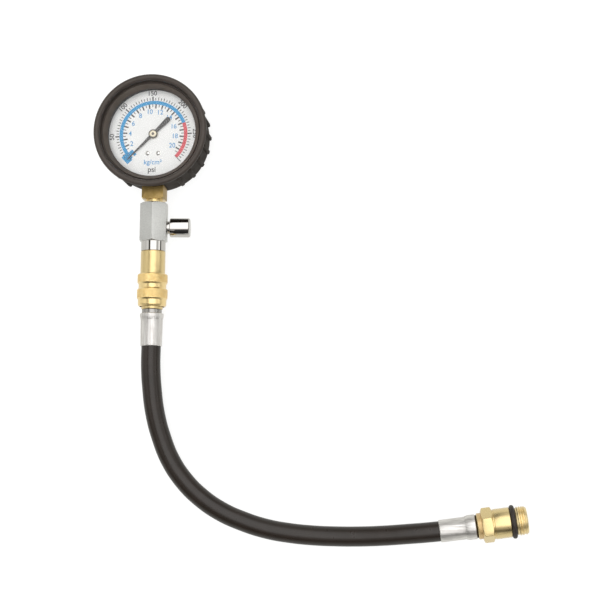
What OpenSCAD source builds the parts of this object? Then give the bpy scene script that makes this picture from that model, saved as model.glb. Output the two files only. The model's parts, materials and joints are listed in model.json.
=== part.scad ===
// Compression tester gauge: a dial gauge in a rubber boot, a release valve,
// a quick coupler and a hose with a spark plug fitting.
// Millimetres. The gauge lies on its back: the dial faces +Z, twelve o'clock is
// +Y, and the stem leaves the case towards -Y. The origin is on the gauge's axis,
// in the plane of the boot's back.

/* [Gauge case] */
// Outside diameter of the pressed steel case
case_d = 61.6; // [60:0.2:66]
// Sheet thickness of the case
case_wall = 0.8; // [0.6:0.1:1.2]
// Width of the case's rolled flange
flange_w = 0.7; // [0.5:0.1:1]
// Sheet thickness of the bezel ring
bezel_t = 0.6; // [0.5:0.1:0.9]
// Thickness of the lens
lens_t = 2; // [1.5:0.1:3]
// Thickness of the gasket under the lens
gasket_t = 1; // [0.6:0.1:1.4]
// Thickness of the dial plate
dial_t = 1; // [0.6:0.1:1.4]
// Room between the dial and the lens
lens_gap = 2.8; // [2.6:0.1:4]

/* [Rubber boot] */
// Rubber thickness beside the case
boot_wall = 3.2; // [2.6:0.1:5]
// Rubber thickness behind the case
boot_floor = 3; // [2:0.5:5]
// Radius of the boot's back edge
boot_edge = 3; // [1:0.5:4]
// Section diameter of the front bead
bead_d = 4.8; // [4:0.2:6]
// How far the bead stands out from the wall
bead_out = 2.7; // [1.5:0.1:3]
// Height of the bead's centre above the bezel
bead_rise = 5.8; // [4.5:0.1:8]
// How far the lip reaches in over the case
lip_w = 2.2; // [1.8:0.1:3]
// Height of the lip's upright edge
lip_edge = 0.5; // [0.3:0.1:1]
// Ribs round a full turn
rib_count = 24; // [12:2:36]
// Width of a rib
rib_w = 2.6; // [2:0.1:3.4]
// How far a rib stands out from the wall
rib_out = 2.1; // [1:0.1:2.4]
// Height of the ribs' lower end
rib_bottom = 7; // [4:0.5:12]
// Length of a rib
rib_l = 20; // [10:0.5:21]

/* [Movement] */
// Height of the stem's axis above the case's back
stem_back = 10; // [9:0.5:14]
// Radius of the Bourdon tube's middle line
tube_r = 22; // [21.5:0.1:24]
// Thickness of the flattened tube
tube_t = 2.4; // [1.6:0.1:2.8]
// Height of the flattened tube
tube_h = 7; // [5:0.2:7.6]
// Wall of the tube
tube_wall = 0.4; // [0.2:0.05:0.5]
// Angle on the dial where the tube ends
tube_end = 10; // [5:1:30]
// Gear module
gear_m = 0.3; // [0.28:0.01:0.31]
// Thickness of the sector gear
sector_t = 1.2; // [0.8:0.1:1.4]
// Distance from the sector's arbor to the link's pin
tail_l = 8; // [7:0.1:9]
// Thickness of the movement's plates
plate_t = 1.2; // [0.8:0.1:1.5]
// Room between the movement's plates
plate_gap = 7.8; // [7.4:0.1:9]
// Length of the pointer from its axis to its tip
pointer_l = 23.6; // [18:0.2:26]
// Length of the pointer's tail
pointer_tail = 15; // [8:0.5:18]

/* [Stem and manifold] */
// Width of the stem's square
square_w = 14; // [13:0.2:15]
// Length of the square outside the boot
square_out = 8.4; // [5:0.1:12]
// Length of bare stem between the square and the manifold
stem_gap = 1.5; // [0.5:0.1:4]
// Outside diameter of the stem's thread
stem_thread_d = 13; // [12:0.1:13.4]
// Length of the stem's thread
stem_thread_l = 10; // [8:0.5:11]
// Manifold hexagon across its flats
hex_af = 17; // [16.4:0.1:20]
// Length of the hexagon
hex_l = 25.5; // [24.5:0.5:32]
// Diameter of the turned neck below the hexagon
neck_d = 15.8; // [14:0.1:16.4]
// Length of the turned neck
neck_l = 6.1; // [3:0.1:10]
// Turn of the manifold about the stem
manifold_roll = 4; // [-10:1:10]
// Distance from the hexagon's top to the release valve
valve_drop = 16; // [15.8:0.1:16.8]

/* [Release button] */
// Diameter of the button
button_d = 12.5; // [11:0.1:15]
// Length of the button
button_l = 13; // [11:0.1:16]
// Gap between the hexagon and the button
button_gap = 2.2; // [2.1:0.1:4]
// Diameter of the valve guide that the button runs on
guide_d = 8.4; // [7.6:0.1:8.8]

/* [Quick coupler] */
// Diameter of the body's barrel inside the sleeve
barrel_d = 13.9; // [13.6:0.1:15]
// Step from the barrel out to the coupler body
body_step = 1; // [0.9:0.1:1.2]
// Length of the body above the sleeve
body_l = 15.1; // [8:0.1:20]
// Length of the sliding sleeve
sleeve_l = 21.1; // [20.6:0.1:26]
// Thickness of the sleeve's lower knurled band over the barrel
sleeve_wall = 2.8; // [2.6:0.1:4]
// Depth of the groove between the knurled bands
sleeve_groove = 0.8; // [0.3:0.1:0.8]
// Thickness of the sleeve's end over the barrel
sleeve_nose_wall = 2.15; // [1.6:0.05:2.3]
// Length of the barrel below the sleeve
nose_out = 1.7; // [1:0.1:4]
// Diameter of a locking ball
ball_d = 3; // [2.6:0.1:3]

/* [Hose and fittings] */
// Outside diameter of the hose
hose_d = 12.5; // [12:0.1:12.7]
// Bore of the hose
hose_bore = 6.4; // [6.2:0.1:7]
// Diameter of the plug's collar
collar_d = 12.8; // [11:0.1:15]
// Length of the plug's collar
collar_l = 2.6; // [1:0.1:5]
// Length of the upper ferrule
upper_ferrule_l = 21; // [18:0.5:28]
// Length of the lower ferrule
lower_ferrule_l = 22.5; // [18:0.5:28]
// Collar diameter of the ferrules
ferrule_d = 15.3; // [14.6:0.1:17]
// Length of the bare neck between the lower ferrule and the end fitting's collar
fitting_neck_l = 1; // [0.6:0.1:2]
// End fitting's hexagon across its flats
fitting_af = 19; // [18:0.1:22]
// Length of that hexagon
fitting_hex_l = 7; // [5:0.1:10]
// Turn of that hexagon about the fitting
fitting_roll = 6; // [-10:1:10]
// Diameter of the round land
land_d = 18.6; // [18.2:0.1:19]
// Length of the round land
land_l = 10.7; // [9:0.1:16]
// Outside diameter of the spark plug thread
plug_thread_d = 17.8; // [17.6:0.1:18]
// Length of the spark plug thread
plug_thread_l = 7; // [6.5:0.1:12]
// Length of the taper that leads the thread in
plug_lead_l = 1.8; // [0.8:0.1:2]
// Section diameter of the fitting's ring seal
ring_d = 3; // [2.4:0.1:3.2]

/* [Hidden] */
$fn = 72;
// Clearances: cover on case, sliding fit, running fit, thread
boot_fit = 0.1;
slide_fit = 0.1;
run_fit = 0.05;
thread_fit = 0.05;
press_gap = 0.02;

// Heights of the gauge's layers
case_r = case_d / 2;
stem_z = boot_floor + stem_back;
dial_back = stem_z + square_w / 2;
dial_top = dial_back + dial_t;
lens_z = dial_top + lens_gap;
flange_z = lens_z - gasket_t;
bezel_z = lens_z + lens_t;
bezel_top = bezel_z + bezel_t;

// Radii of the gauge's layers
flange_r = case_r + flange_w;
bezel_r = flange_r + press_gap + bezel_t;
lip_r = case_r - lip_w;
bezel_in = lip_r + 0.8;
dial_r = case_r - case_wall - 0.6;
boot_r = case_r + boot_fit + boot_wall;
bead_r = boot_r + bead_out - bead_d / 2;
bead_z = bezel_top + bead_rise;
groove_r = bead_r - bead_d / 2 + 0.2;
curl_t = 0.6;
rib_gap = 20;

// Movement: the pinion is on the gauge's axis, the sector's arbor beside it
pinion_teeth = 12;
wheel_teeth = 90;
sector_teeth = 13;
pressure_angle = 20;
tooth_play = 0.03;
pinion_r = gear_m * pinion_teeth / 2;
wheel_r = gear_m * wheel_teeth / 2;
arbor_dir = 20;
arbor_at = (pinion_r + wheel_r) * [cos(arbor_dir), sin(arbor_dir)];
boss_h = 1.8;
boss_r = 2.4;
front_z = dial_back - boss_h - plate_t;
back_z = front_z - plate_gap - plate_t;
sector_z = back_z + plate_t + 2.8;
link_z = sector_z + sector_t + 0.2;
link_t = 0.6;
lug_z = link_z + link_t + 0.2;
lug_t = 1;
pivot_r = 0.6;
arbor_r = 0.9;
shaft_r = 0.9;
tail_dir = -83;
tail_at = arbor_at + tail_l * [cos(tail_dir), sin(tail_dir)];
tube_root = 256;
lug_l = 5.5;
tip_l = 2;
tip_at = [(tube_r - 1) * cos(tube_end) + lug_l * sin(tube_end),
          (tube_r - 1) * sin(tube_end) - lug_l * cos(tube_end)];
pillar_r = 1.2;
pillars_at = [[-6.6, 2.4], [12.5, 12]];
screw_x = 3.45;
screw_y = 12.5;
screw_depth = 5;
screw_r = 0.85;
screw_hole_r = screw_r + 0.15;
tongue_top = 9;
tongue_end = 17;
pointer_dir = 225;
pointer_z = dial_top + 0.9;
pointer_t = 0.5;
shaft_top = pointer_z + 1.2;
bush_r = 2.35;
hub_r = 3;

// Distances below the gauge's axis, down the stem
square_end = boot_r + square_out;
manifold_d = square_end + stem_gap;
valve_d = manifold_d + valve_drop;
body_at = manifold_d + hex_l + neck_l;
passage_r = 2;
spigot_r = 5;
spigot_l = 8.6;

// Release valve, measured out from the stem's axis
seat_z = 4.4;
flat_z = hex_af / 2;
button_z = flat_z + button_gap;
guide_end = button_z + 2.8;
cap_wall = 1.6;
cap_roof = 3.1;
cap_top = button_z + button_l;
stem_rod_r = 1;
chamber_r = 3.2;
valve_seal_t = 1.2;

// Coupler, measured down from the body's top face
body_d = barrel_d + 2 * body_step;
sleeve_d = barrel_d + 2 * sleeve_wall;
sleeve_nose_d = barrel_d + 2 * sleeve_nose_wall;
sleeve_at = body_l;
shoulder_at = sleeve_at + 3.3;
sleeve_end = sleeve_at + sleeve_l;
nose_end = sleeve_end + nose_out;
ball_at = sleeve_end - 5.8;
ring_at = sleeve_end - 3.4;
spring_end = sleeve_end - 11.3;
sleeve_bore_r = barrel_d / 2 + slide_fit;
spring_bore_r = body_d / 2 + 0.4;
socket_r = 5;
plug_r = socket_r - slide_fit;
plug_top = sleeve_at + 4.9;
seal_at = plug_top + 2;
collar_end = nose_end + slide_fit + collar_l;
tail_r = hose_bore / 2 * cos(15) - 0.09;
plug_bore_r = 1.75;
ball_r = ball_d / 2;
ball_ring_r = barrel_d / 2 - ball_r;
ball_turns = [20:60:320];
band_1_l = 6.2;
band_2_at = 9.6;
band_2_l = 6.7;

// Ferrules and end fitting
end_wall = 1.2;
ferrule_bore_r = hose_d / 2 + run_fit;
ferrule_wall = 0.5;
ferrule_mouth = body_at + collar_end + upper_ferrule_l;
ring_r = ring_d / 2;
ring_floor_r = plug_thread_d / 2 - ring_r;
fitting_z = ring_floor_r + ring_d;
fitting_angle = 8;
fitting_at = [184, -115 - ferrule_mouth, fitting_z];
fitting_collar_l = 3.8;
fitting_hex_at = lower_ferrule_l + fitting_collar_l;
land_at = fitting_hex_at + fitting_hex_l;
groove_at = land_at + land_l;
thread_at = groove_at + ring_d + 0.4;
thread_end = thread_at + plug_thread_l;
core_r = 2.6;
core_l = 10;
core_pin_r = 0.7;
core_reach = 1.6;
core_end = thread_end - 7;

// Hose route: x, distance below the upper ferrule's mouth, height of the middle line
hose_sides = 12;
fitting_dir = [cos(fitting_angle), sin(fitting_angle), 0];
hose_run = [
    [0, 13, 12.7], [1, 28, 11.6], [3, 43, 10], [7, 58, 8.3], [13, 72.5, 7], [22, 85.5, 6.4],
    [33, 96, 6.3], [46, 104.5, 6.3], [60, 110.5, 6.3], [75, 115, 6.3], [90, 117.5, 6.3],
    [105, 118.8, 6.3], [120, 119.2, 6.5], [135, 119, 7.2], [150, 118.2, 8.4], [164, 117, 9.6],
    [175, 116, 10.2]
];
hose_path = concat(
    [[0, -body_at - collar_end - end_wall, stem_z], [0, -ferrule_mouth, stem_z]],
    [for (p = hose_run) [p.x, -ferrule_mouth - p.y, p.z]],
    [fitting_at, fitting_at + (lower_ferrule_l - end_wall) * fitting_dir]
);

// Helpers

// Turns a profile of [radius, height] points about the Z axis
module turned(profile) {
    rotate_extrude() polygon(profile);
}

// Ring with a rectangular section
module ring(outer, inner, z0, z1) {
    turned([[inner, z0], [outer, z0], [outer, z1], [inner, z1]]);
}

// Local Z runs down the stem, from a distance below the gauge's axis
module on_stem(d) {
    translate([0, -d, stem_z]) rotate([90, 0, 0]) children();
}

// Local Z runs out along the release valve
module on_valve() {
    on_stem(valve_d) rotate(-manifold_roll) rotate([0, 90, 0]) children();
}

// Local Z runs out along the end fitting, from the mouth of its ferrule
module on_fitting() {
    translate(fitting_at) rotate(fitting_angle) rotate([0, 90, 0]) children();
}

// Hexagonal bar with the edges of both ends turned off
module hex_bar(af, l) {
    corner = af / sqrt(3);
    rise = 0.5;
    flat = af / 2 - 0.4;
    edge = corner + 0.1;
    lift = (edge - flat) * rise;
    intersection() {
        rotate(30) cylinder(r = corner, h = l, $fn = 6);
        turned([[0, 0], [flat, 0], [edge, lift], [edge, l - lift], [flat, l], [0, l]]);
    }
}

// Round wire wound into a spring that stands on Z
module coil(mean_r, wire_r, length, turns) {
    sides = 6;
    per_turn = 16;
    steps = turns * per_turn;
    rise = (length - 2 * wire_r) / steps;
    points = [for (i = [0:steps], k = [0:sides - 1])
        let (a = i * 360 / per_turn, b = k * 360 / sides, r = mean_r + wire_r * cos(b))
        [r * cos(a), r * sin(a), wire_r + i * rise + wire_r * sin(b)]];
    walls = [for (i = [0:steps - 1], k = [0:sides - 1])
        let (n = (k + 1) % sides)
        [i * sides + k, i * sides + n, (i + 1) * sides + n, (i + 1) * sides + k]];
    ends = [[for (k = [sides - 1:-1:0]) k], [for (k = [0:sides - 1]) steps * sides + k]];
    polyhedron(points, concat([for (w = walls) [w[3], w[2], w[1], w[0]]],
                              [for (e = ends) [for (k = [len(e) - 1:-1:0]) e[k]]]), convexity = 8);
}

// Involute gear teeth: half the angle that a tooth spans at a radius
function involute(a) = tan(a) * 180 / PI - a;
function tooth_half(r, pitch_r, teeth) =
    let (base = pitch_r * cos(pressure_angle), at = max(r, base))
    90 / teeth - tooth_play / pitch_r * 180 / PI + involute(pressure_angle) - involute(acos(base / at));
function tooth(centre, radii, pitch_r, teeth) = concat(
    [for (r = radii) let (a = centre - tooth_half(r, pitch_r, teeth)) r * [cos(a), sin(a)]],
    [for (i = [len(radii) - 1:-1:0])
        let (r = radii[i], a = centre + tooth_half(r, pitch_r, teeth)) r * [cos(a), sin(a)]]
);
function flatten(lists) = [for (l = lists, p = l) p];

// Gauge case, cover and dial

module boot_section() {
    difference() {
        union() {
            square([boot_r - boot_edge, bead_z]);
            translate([0, boot_edge]) square([boot_r, bead_z - boot_edge]);
            translate([boot_r - boot_edge, boot_edge]) circle(boot_edge);
            translate([bead_r, bead_z]) circle(bead_d / 2);
        }
        translate([0, boot_floor]) square([case_r + boot_fit, bezel_top - boot_floor]);
        translate([0, flange_z - case_wall - curl_t - boot_fit])
            square([bezel_r + boot_fit, bezel_top - flange_z + case_wall + curl_t + boot_fit]);
        polygon([[0, bezel_top - 1], [lip_r, bezel_top - 1], [lip_r, bezel_top + lip_edge],
                 [groove_r, bead_z - 1], [groove_r, bead_z + bead_d], [0, bead_z + bead_d]]);
    }
}

module boot_rib() {
    at_r = boot_r + rib_out - rib_w / 2;
    translate([at_r, 0, rib_bottom + rib_w / 2]) {
        cylinder(d = rib_w, h = rib_l - rib_w);
        sphere(d = rib_w);
        translate([0, 0, rib_l - rib_w]) sphere(d = rib_w);
    }
}

module rubber_boot() {
    rib_step = 360 / rib_count;
    color("dimgray") difference() {
        union() {
            rotate_extrude() boot_section();
            // The ribs leave the wall plain beside the stem
            difference() {
                for (a = [0:rib_step:359]) if (abs(a - 270) > rib_gap) rotate(a) boot_rib();
                translate([0, 0, -1]) cylinder(r = boot_r - 1, h = bead_z);
            }
        }
        on_stem(boot_r) cube([square_w + 0.6, square_w + 0.6, 2 * boot_wall + 4], center = true);
    }
}

module gauge_case() {
    color("silver") difference() {
        turned([[0, boot_floor], [case_r, boot_floor], [case_r, flange_z - case_wall],
                [flange_r, flange_z - case_wall], [flange_r, flange_z], [case_r - case_wall, flange_z],
                [case_r - case_wall, boot_floor + case_wall], [0, boot_floor + case_wall]]);
        on_stem(case_r) cube([square_w + 0.2, square_w + 0.2, 8], center = true);
    }
}

module bezel_ring() {
    curl_z = flange_z - case_wall - curl_t;
    grip_r = flange_r + press_gap;
    color("black") turned([
        [case_r + 0.2, curl_z], [bezel_r, curl_z], [bezel_r, bezel_top], [bezel_in, bezel_top],
        [bezel_in, bezel_z], [grip_r, bezel_z], [grip_r, curl_z + curl_t], [case_r + 0.2, curl_z + curl_t]
    ]);
}

module lens() {
    color("aliceblue", 0.3) translate([0, 0, lens_z]) cylinder(r = flange_r - 0.1, h = lens_t);
}

module lens_gasket() {
    color("black") ring(flange_r - 0.1, case_r - case_wall, flange_z, lens_z);
}

module dial_plate() {
    color("white") difference() {
        translate([0, 0, dial_back]) cylinder(r = dial_r, h = dial_t);
        translate([0, 0, dial_back - 1]) cylinder(r = 2 * shaft_r, h = dial_t + 2);
        for (s = [-1, 1]) translate([s * screw_x, -screw_y, dial_back - 1])
            cylinder(r = screw_hole_r, h = dial_t + 2);
    }
}

module dial_screws() {
    shank_l = screw_depth + plate_t + boss_h + dial_t;
    color("silver") for (s = [-1, 1]) translate([s * screw_x, -screw_y, dial_top]) difference() {
        union() {
            cylinder(r = 1.6, h = 0.7);
            translate([0, 0, 0.2 - shank_l]) cylinder(r = screw_r, h = shank_l);
        }
        translate([-2, -0.2, 0.4]) cube([4, 0.4, 1]);
    }
}

module pointer() {
    end_r = 1.65;
    tail_x = end_r - pointer_tail;
    color("black") translate([0, 0, pointer_z]) rotate(pointer_dir) linear_extrude(pointer_t) difference() {
        union() {
            circle(hub_r);
            polygon([[0, -1.1], [pointer_l, -0.2], [pointer_l, 0.2], [0, 1.1]]);
            polygon([[0, -0.9], [0, 0.9], [tail_x, end_r], [tail_x, -end_r]]);
            translate([tail_x, 0]) circle(end_r);
        }
        circle(bush_r);
    }
}

module pointer_bush() {
    z0 = dial_top + 0.3;
    bore_r = shaft_r + press_gap;
    color("khaki") turned([
        [bore_r, z0], [hub_r, z0], [hub_r, pointer_z], [bush_r - press_gap, pointer_z],
        [bush_r - press_gap, shaft_top - 0.3], [bush_r - 0.4, shaft_top], [bore_r, shaft_top]
    ]);
}

// Movement

module stem_socket() {
    half = square_w / 2;
    thread_end_d = manifold_d + stem_thread_l;
    color("darkgoldenrod") difference() {
        union() {
            intersection() {
                on_stem(tongue_end) translate([-half, -half, 0])
                    cube([square_w, square_w, square_end - tongue_end]);
                on_stem(0) turned([[0, 0], [2 * half, 0], [2 * half, square_end - 4],
                                   [half + 0.6, square_end], [0, square_end]]);
            }
            // Tongue that the movement's plates clasp
            translate([-half, -tongue_end - 1, back_z + plate_t])
                cube([square_w, tongue_end - tongue_top + 1, plate_gap]);
            on_stem(square_end - 1) cylinder(d = stem_thread_d, h = thread_end_d - square_end + 1);
        }
        on_stem(tube_r) cylinder(r = passage_r, h = thread_end_d - tube_r + 1);
        translate([0, -tube_r, stem_z]) rotate([0, -90, 0])
            cylinder(r = tube_t / 2 - tube_wall, h = half + 1);
        for (s = [-1, 1]) translate([s * screw_x, -screw_y, front_z - screw_depth])
            cylinder(r = screw_r + press_gap, h = screw_depth + 1);
    }
}

module tube_section(grow) {
    square([tube_t + 2 * grow, tube_h - tube_t], center = true);
    for (s = [-1, 1]) translate([0, s * (tube_h - tube_t) / 2]) circle(tube_t / 2 + grow);
}

module bourdon_tube() {
    half = square_w / 2;
    color("peru") difference() {
        translate([0, 0, stem_z]) rotate(tube_end) rotate_extrude(angle = tube_root - tube_end)
            translate([tube_r, 0]) difference() {
                tube_section(0);
                tube_section(-tube_wall);
            }
        translate([-half, -tube_r - tube_t, stem_z - tube_h]) cube([2 * half, 4 * tube_t, 2 * tube_h]);
    }
}

// End piece soldered on the tube, with a lug above the link
module tube_tip() {
    tip_w = tube_t + 1;
    color("goldenrod") rotate(tube_end) difference() {
        union() {
            translate([tube_r - tip_w / 2, -tip_l, stem_z - tube_h / 2 - 0.1])
                cube([tip_w, tip_l, tube_h + 0.2]);
            translate([tube_r - 2.4, -lug_l, lug_z]) cube([2.8, lug_l - tip_l, lug_t]);
            translate([tube_r - 1, -lug_l, lug_z]) cylinder(r = 1.4, h = lug_t);
        }
        translate([tube_r - 1, -lug_l, lug_z - 1]) cylinder(r = pivot_r + run_fit, h = lug_t + 2);
    }
}

// Flat link from the sector's tail to the tube's end
module link() {
    reach = norm(tip_at - tail_at);
    eye_r = 1.4;
    color("silver") translate([tail_at.x, tail_at.y, link_z])
        rotate(atan2(tip_at.y - tail_at.y, tip_at.x - tail_at.x)) {
            linear_extrude(link_t) difference() {
                union() {
                    circle(eye_r);
                    translate([0, -0.8]) square([reach, 1.6]);
                    translate([reach, 0]) circle(eye_r);
                }
                circle(pivot_r + run_fit);
            }
            translate([reach, 0, 0]) cylinder(r = pivot_r, h = link_t + 0.1);
        }
}

module sector_gear() {
    root_r = wheel_r - 1.5 * gear_m;
    radii = [root_r, wheel_r - 0.8 * gear_m, wheel_r - 0.4 * gear_m, wheel_r, wheel_r + 0.35 * gear_m,
             wheel_r + 0.65 * gear_m];
    step = 360 / wheel_teeth;
    first = 180 + arbor_dir - (sector_teeth - 2.5) * step;
    last = first + (sector_teeth - 1) * step;
    mid = (first + last) / 2;
    teeth = flatten([for (i = [0:sector_teeth - 1]) tooth(first + i * step, radii, wheel_r, wheel_teeth)]);
    hub = [2.2 * [cos(last + 60), sin(last + 60)], 2.2 * [cos(first - 60), sin(first - 60)]];
    window = concat([for (a = [first + 8:4:last - 8]) (root_r - 2) * [cos(a), sin(a)]],
                    [4.5 * [cos(last - 12), sin(last - 12)], 4.5 * [cos(first + 12), sin(first + 12)]]);
    color("gold") translate([arbor_at.x, arbor_at.y, sector_z]) {
        linear_extrude(sector_t) difference() {
            union() {
                polygon(concat(teeth, hub));
                circle(2.4);
                rotate(tail_dir) translate([0, -1.2]) square([tail_l, 2.4]);
                rotate(tail_dir) translate([tail_l, 0]) circle(1.5);
            }
            polygon(window);
            circle(arbor_r + press_gap);
        }
        rotate(tail_dir) translate([tail_l, 0, 0]) cylinder(r = pivot_r, h = link_z - sector_z + link_t);
    }
}

module sector_arbor() {
    color("silver") translate([arbor_at.x, arbor_at.y, 0]) turned([
        [0, back_z + 0.1], [pivot_r, back_z + 0.1], [pivot_r, back_z + plate_t + 0.2],
        [arbor_r, back_z + plate_t + 0.2], [arbor_r, front_z - 0.2], [pivot_r, front_z - 0.2],
        [pivot_r, front_z + plate_t - 0.1], [0, front_z + plate_t - 0.1]
    ]);
}

module pinion_shaft() {
    radii = [pinion_r - 1.35 * gear_m, pinion_r * cos(pressure_angle), pinion_r,
             pinion_r + 0.5 * gear_m, pinion_r + gear_m];
    teeth = flatten([for (i = [0:pinion_teeth - 1])
        tooth(arbor_dir + i * 360 / pinion_teeth, radii, pinion_r, pinion_teeth)]);
    color("silver") {
        turned([
            [0, back_z + 0.1], [pivot_r, back_z + 0.1], [pivot_r, back_z + plate_t + 0.2],
            [shaft_r, back_z + plate_t + 0.2], [shaft_r, front_z - 2], [1.5, front_z - 2],
            [1.5, front_z - 0.6], [shaft_r, front_z - 0.6], [shaft_r, shaft_top], [0, shaft_top]
        ]);
        translate([0, 0, sector_z - 0.6]) linear_extrude(sector_t + 1.2) polygon(teeth);
    }
}

// Outline that the two plates share
module movement_outline() {
    half = square_w / 2;
    polygon([
        [-half, -tongue_end], [half, -tongue_end], [half, -6], arbor_at + [1, -3], arbor_at + [3, 0],
        pillars_at[1] + [2, 1.2], pillars_at[1] + [-1.4, 2], [-2, 5], pillars_at[0] + [-0.6, 2.1],
        [-half - 1.4, 0]
    ]);
    for (p = pillars_at) translate(p) circle(2.2);
    translate(arbor_at) circle(3);
}

module back_plate() {
    color("goldenrod") difference() {
        translate([0, 0, back_z]) linear_extrude(plate_t) movement_outline();
        for (p = [[0, 0], arbor_at]) translate([p.x, p.y, back_z - 1])
            cylinder(r = pivot_r + run_fit, h = plate_t + 2);
    }
}

module front_plate() {
    color("goldenrod") difference() {
        union() {
            translate([0, 0, front_z]) linear_extrude(plate_t) movement_outline();
            for (s = [-1, 1]) translate([s * screw_x, -screw_y, front_z])
                cylinder(r = boss_r, h = plate_t + boss_h);
        }
        translate([0, 0, front_z - 1]) cylinder(r = shaft_r + run_fit, h = plate_t + 2);
        translate([arbor_at.x, arbor_at.y, front_z - 1]) cylinder(r = pivot_r + run_fit, h = plate_t + 2);
        for (s = [-1, 1]) translate([s * screw_x, -screw_y, front_z - 1])
            cylinder(r = screw_hole_r, h = plate_t + boss_h + 2);
    }
}

module movement_pillars() {
    color("gold") for (p = pillars_at) translate([p.x, p.y, back_z + plate_t])
        cylinder(r = pillar_r, h = plate_gap);
}

module hairspring() {
    inner = 1.8;
    outer = norm(pillars_at[0]) - pillar_r - 0.15;
    half_t = 0.12;
    turns = 3;
    stop = atan2(pillars_at[0].y, pillars_at[0].x);
    steps = turns * 20;
    spiral = [for (i = [0:steps]) [inner + (outer - inner) * i / steps, stop - (steps - i) * 18]];
    color("khaki") translate([0, 0, front_z - 1.7]) linear_extrude(0.8) polygon(concat(
        [for (s = spiral) (s[0] - half_t) * [cos(s[1]), sin(s[1])]],
        [for (i = [steps:-1:0]) let (s = spiral[i]) (s[0] + half_t) * [cos(s[1]), sin(s[1])]]
    ));
}

// Manifold and release valve

module manifold_block() {
    color("lightgray") difference() {
        on_stem(manifold_d) rotate(-manifold_roll) {
            hex_bar(hex_af, hex_l);
            translate([0, 0, hex_l - 1]) cylinder(d = neck_d, h = neck_l + 1);
        }
        on_stem(manifold_d - 1) cylinder(r = stem_thread_d / 2 + thread_fit, h = stem_thread_l + 1.5);
        on_stem(manifold_d) cylinder(r = passage_r, h = hex_l);
        on_stem(body_at - spigot_l - 0.5) cylinder(r = spigot_r + thread_fit, h = spigot_l + 1);
        on_valve() {
            cylinder(r = chamber_r, h = seat_z + 0.1);
            translate([0, 0, seat_z]) cylinder(r = guide_d / 2 - 0.2 + thread_fit, h = hex_af);
        }
    }
}

module valve_guide() {
    color("silver") on_valve() turned([
        [stem_rod_r + slide_fit, seat_z], [guide_d / 2 - 0.2, seat_z], [guide_d / 2 - 0.2, flat_z],
        [guide_d / 2, flat_z], [guide_d / 2, guide_end], [stem_rod_r + slide_fit, guide_end]
    ]);
}

module release_button() {
    r = button_d / 2;
    edge = 0.7;
    hollow_r = r - cap_wall;
    roof_z = cap_top - cap_roof;
    color("gainsboro") on_valve() turned([
        [hollow_r, button_z], [r - edge / 2, button_z], [r, button_z + edge / 2], [r, cap_top - edge],
        [r - edge, cap_top], [0, cap_top], [0, roof_z + 1.6], [stem_rod_r + press_gap, roof_z + 1.6],
        [stem_rod_r + press_gap, roof_z], [hollow_r, roof_z]
    ]);
}

module valve_stem() {
    head_t = 0.8;
    head_r = 1.7;
    head_z = seat_z - valve_seal_t;
    rod_end = cap_top - cap_roof + 1.5;
    color("silver") on_valve() turned([
        [0, head_z - head_t], [head_r, head_z - head_t], [head_r, head_z], [stem_rod_r, head_z],
        [stem_rod_r, rod_end], [0, rod_end]
    ]);
}

module valve_seal() {
    color("black") on_valve()
        ring(chamber_r - 0.4, stem_rod_r + press_gap, seat_z - valve_seal_t, seat_z - run_fit);
}

module valve_spring() {
    wire_r = 0.3;
    room = cap_top - cap_roof - guide_end;
    mean_r = 2.6;
    color("silver") on_valve() translate([0, 0, guide_end + run_fit])
        coil(mean_r, wire_r, room - 2 * run_fit, 4);
}

// Quick coupler

module coupler_body() {
    body_r = body_d / 2;
    barrel_r = barrel_d / 2;
    ring_groove_r = barrel_r - 0.6;
    seal_groove_r = socket_r + 1.2;
    color("burlywood") on_stem(body_at) difference() {
        turned([
            [passage_r, -spigot_l], [spigot_r, -spigot_l], [spigot_r, 0], [body_r - 0.5, 0], [body_r, 0.5],
            [body_r, shoulder_at], [barrel_r, shoulder_at], [barrel_r, ring_at], [ring_groove_r, ring_at],
            [ring_groove_r, ring_at + 1.1], [barrel_r, ring_at + 1.1], [barrel_r, nose_end - 0.4],
            [barrel_r - 0.4, nose_end], [socket_r + 0.5, nose_end], [socket_r, nose_end - 0.5],
            [socket_r, seal_at + 1.6], [seal_groove_r, seal_at + 1.6], [seal_groove_r, seal_at],
            [socket_r, seal_at], [socket_r, plug_top - 3], [passage_r, plug_top - 3]
        ]);
        for (a = ball_turns) rotate(a) translate([socket_r - 1, 0, ball_at]) rotate([0, 90, 0])
            cylinder(r = ball_r + run_fit, h = body_r);
    }
}

module coupler_sleeve() {
    r = sleeve_d / 2;
    upper_r = r - 0.15;
    waist_r = r - sleeve_groove;
    nose_r = sleeve_nose_d / 2;
    end_bore_r = barrel_d / 2 + 1.1;
    end_wall_t = 0.15;
    taper_l = 1.5;
    band_2_end = band_2_at + band_2_l;
    edge = 0.5;
    color("goldenrod") on_stem(body_at) turned([
        [spring_bore_r, sleeve_at], [upper_r - edge, sleeve_at], [upper_r, sleeve_at + edge],
        [upper_r, sleeve_at + band_1_l - edge], [waist_r, sleeve_at + band_1_l + edge],
        [waist_r, sleeve_at + band_2_at - edge], [r, sleeve_at + band_2_at + edge],
        [r, sleeve_at + band_2_end - edge], [nose_r + 0.1, sleeve_at + band_2_end + edge],
        [nose_r, sleeve_end - taper_l], [end_bore_r + end_wall_t, sleeve_end], [end_bore_r, sleeve_end],
        [end_bore_r, ring_at - run_fit], [sleeve_bore_r, ring_at - run_fit],
        [sleeve_bore_r, spring_end], [spring_bore_r, spring_end]
    ]);
}

module sleeve_spring() {
    wire_r = 0.45;
    mean_r = barrel_d / 2 + wire_r + 0.2;
    color("silver") on_stem(body_at + shoulder_at + run_fit)
        coil(mean_r, wire_r, spring_end - shoulder_at - 2 * run_fit, 2);
}

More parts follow.
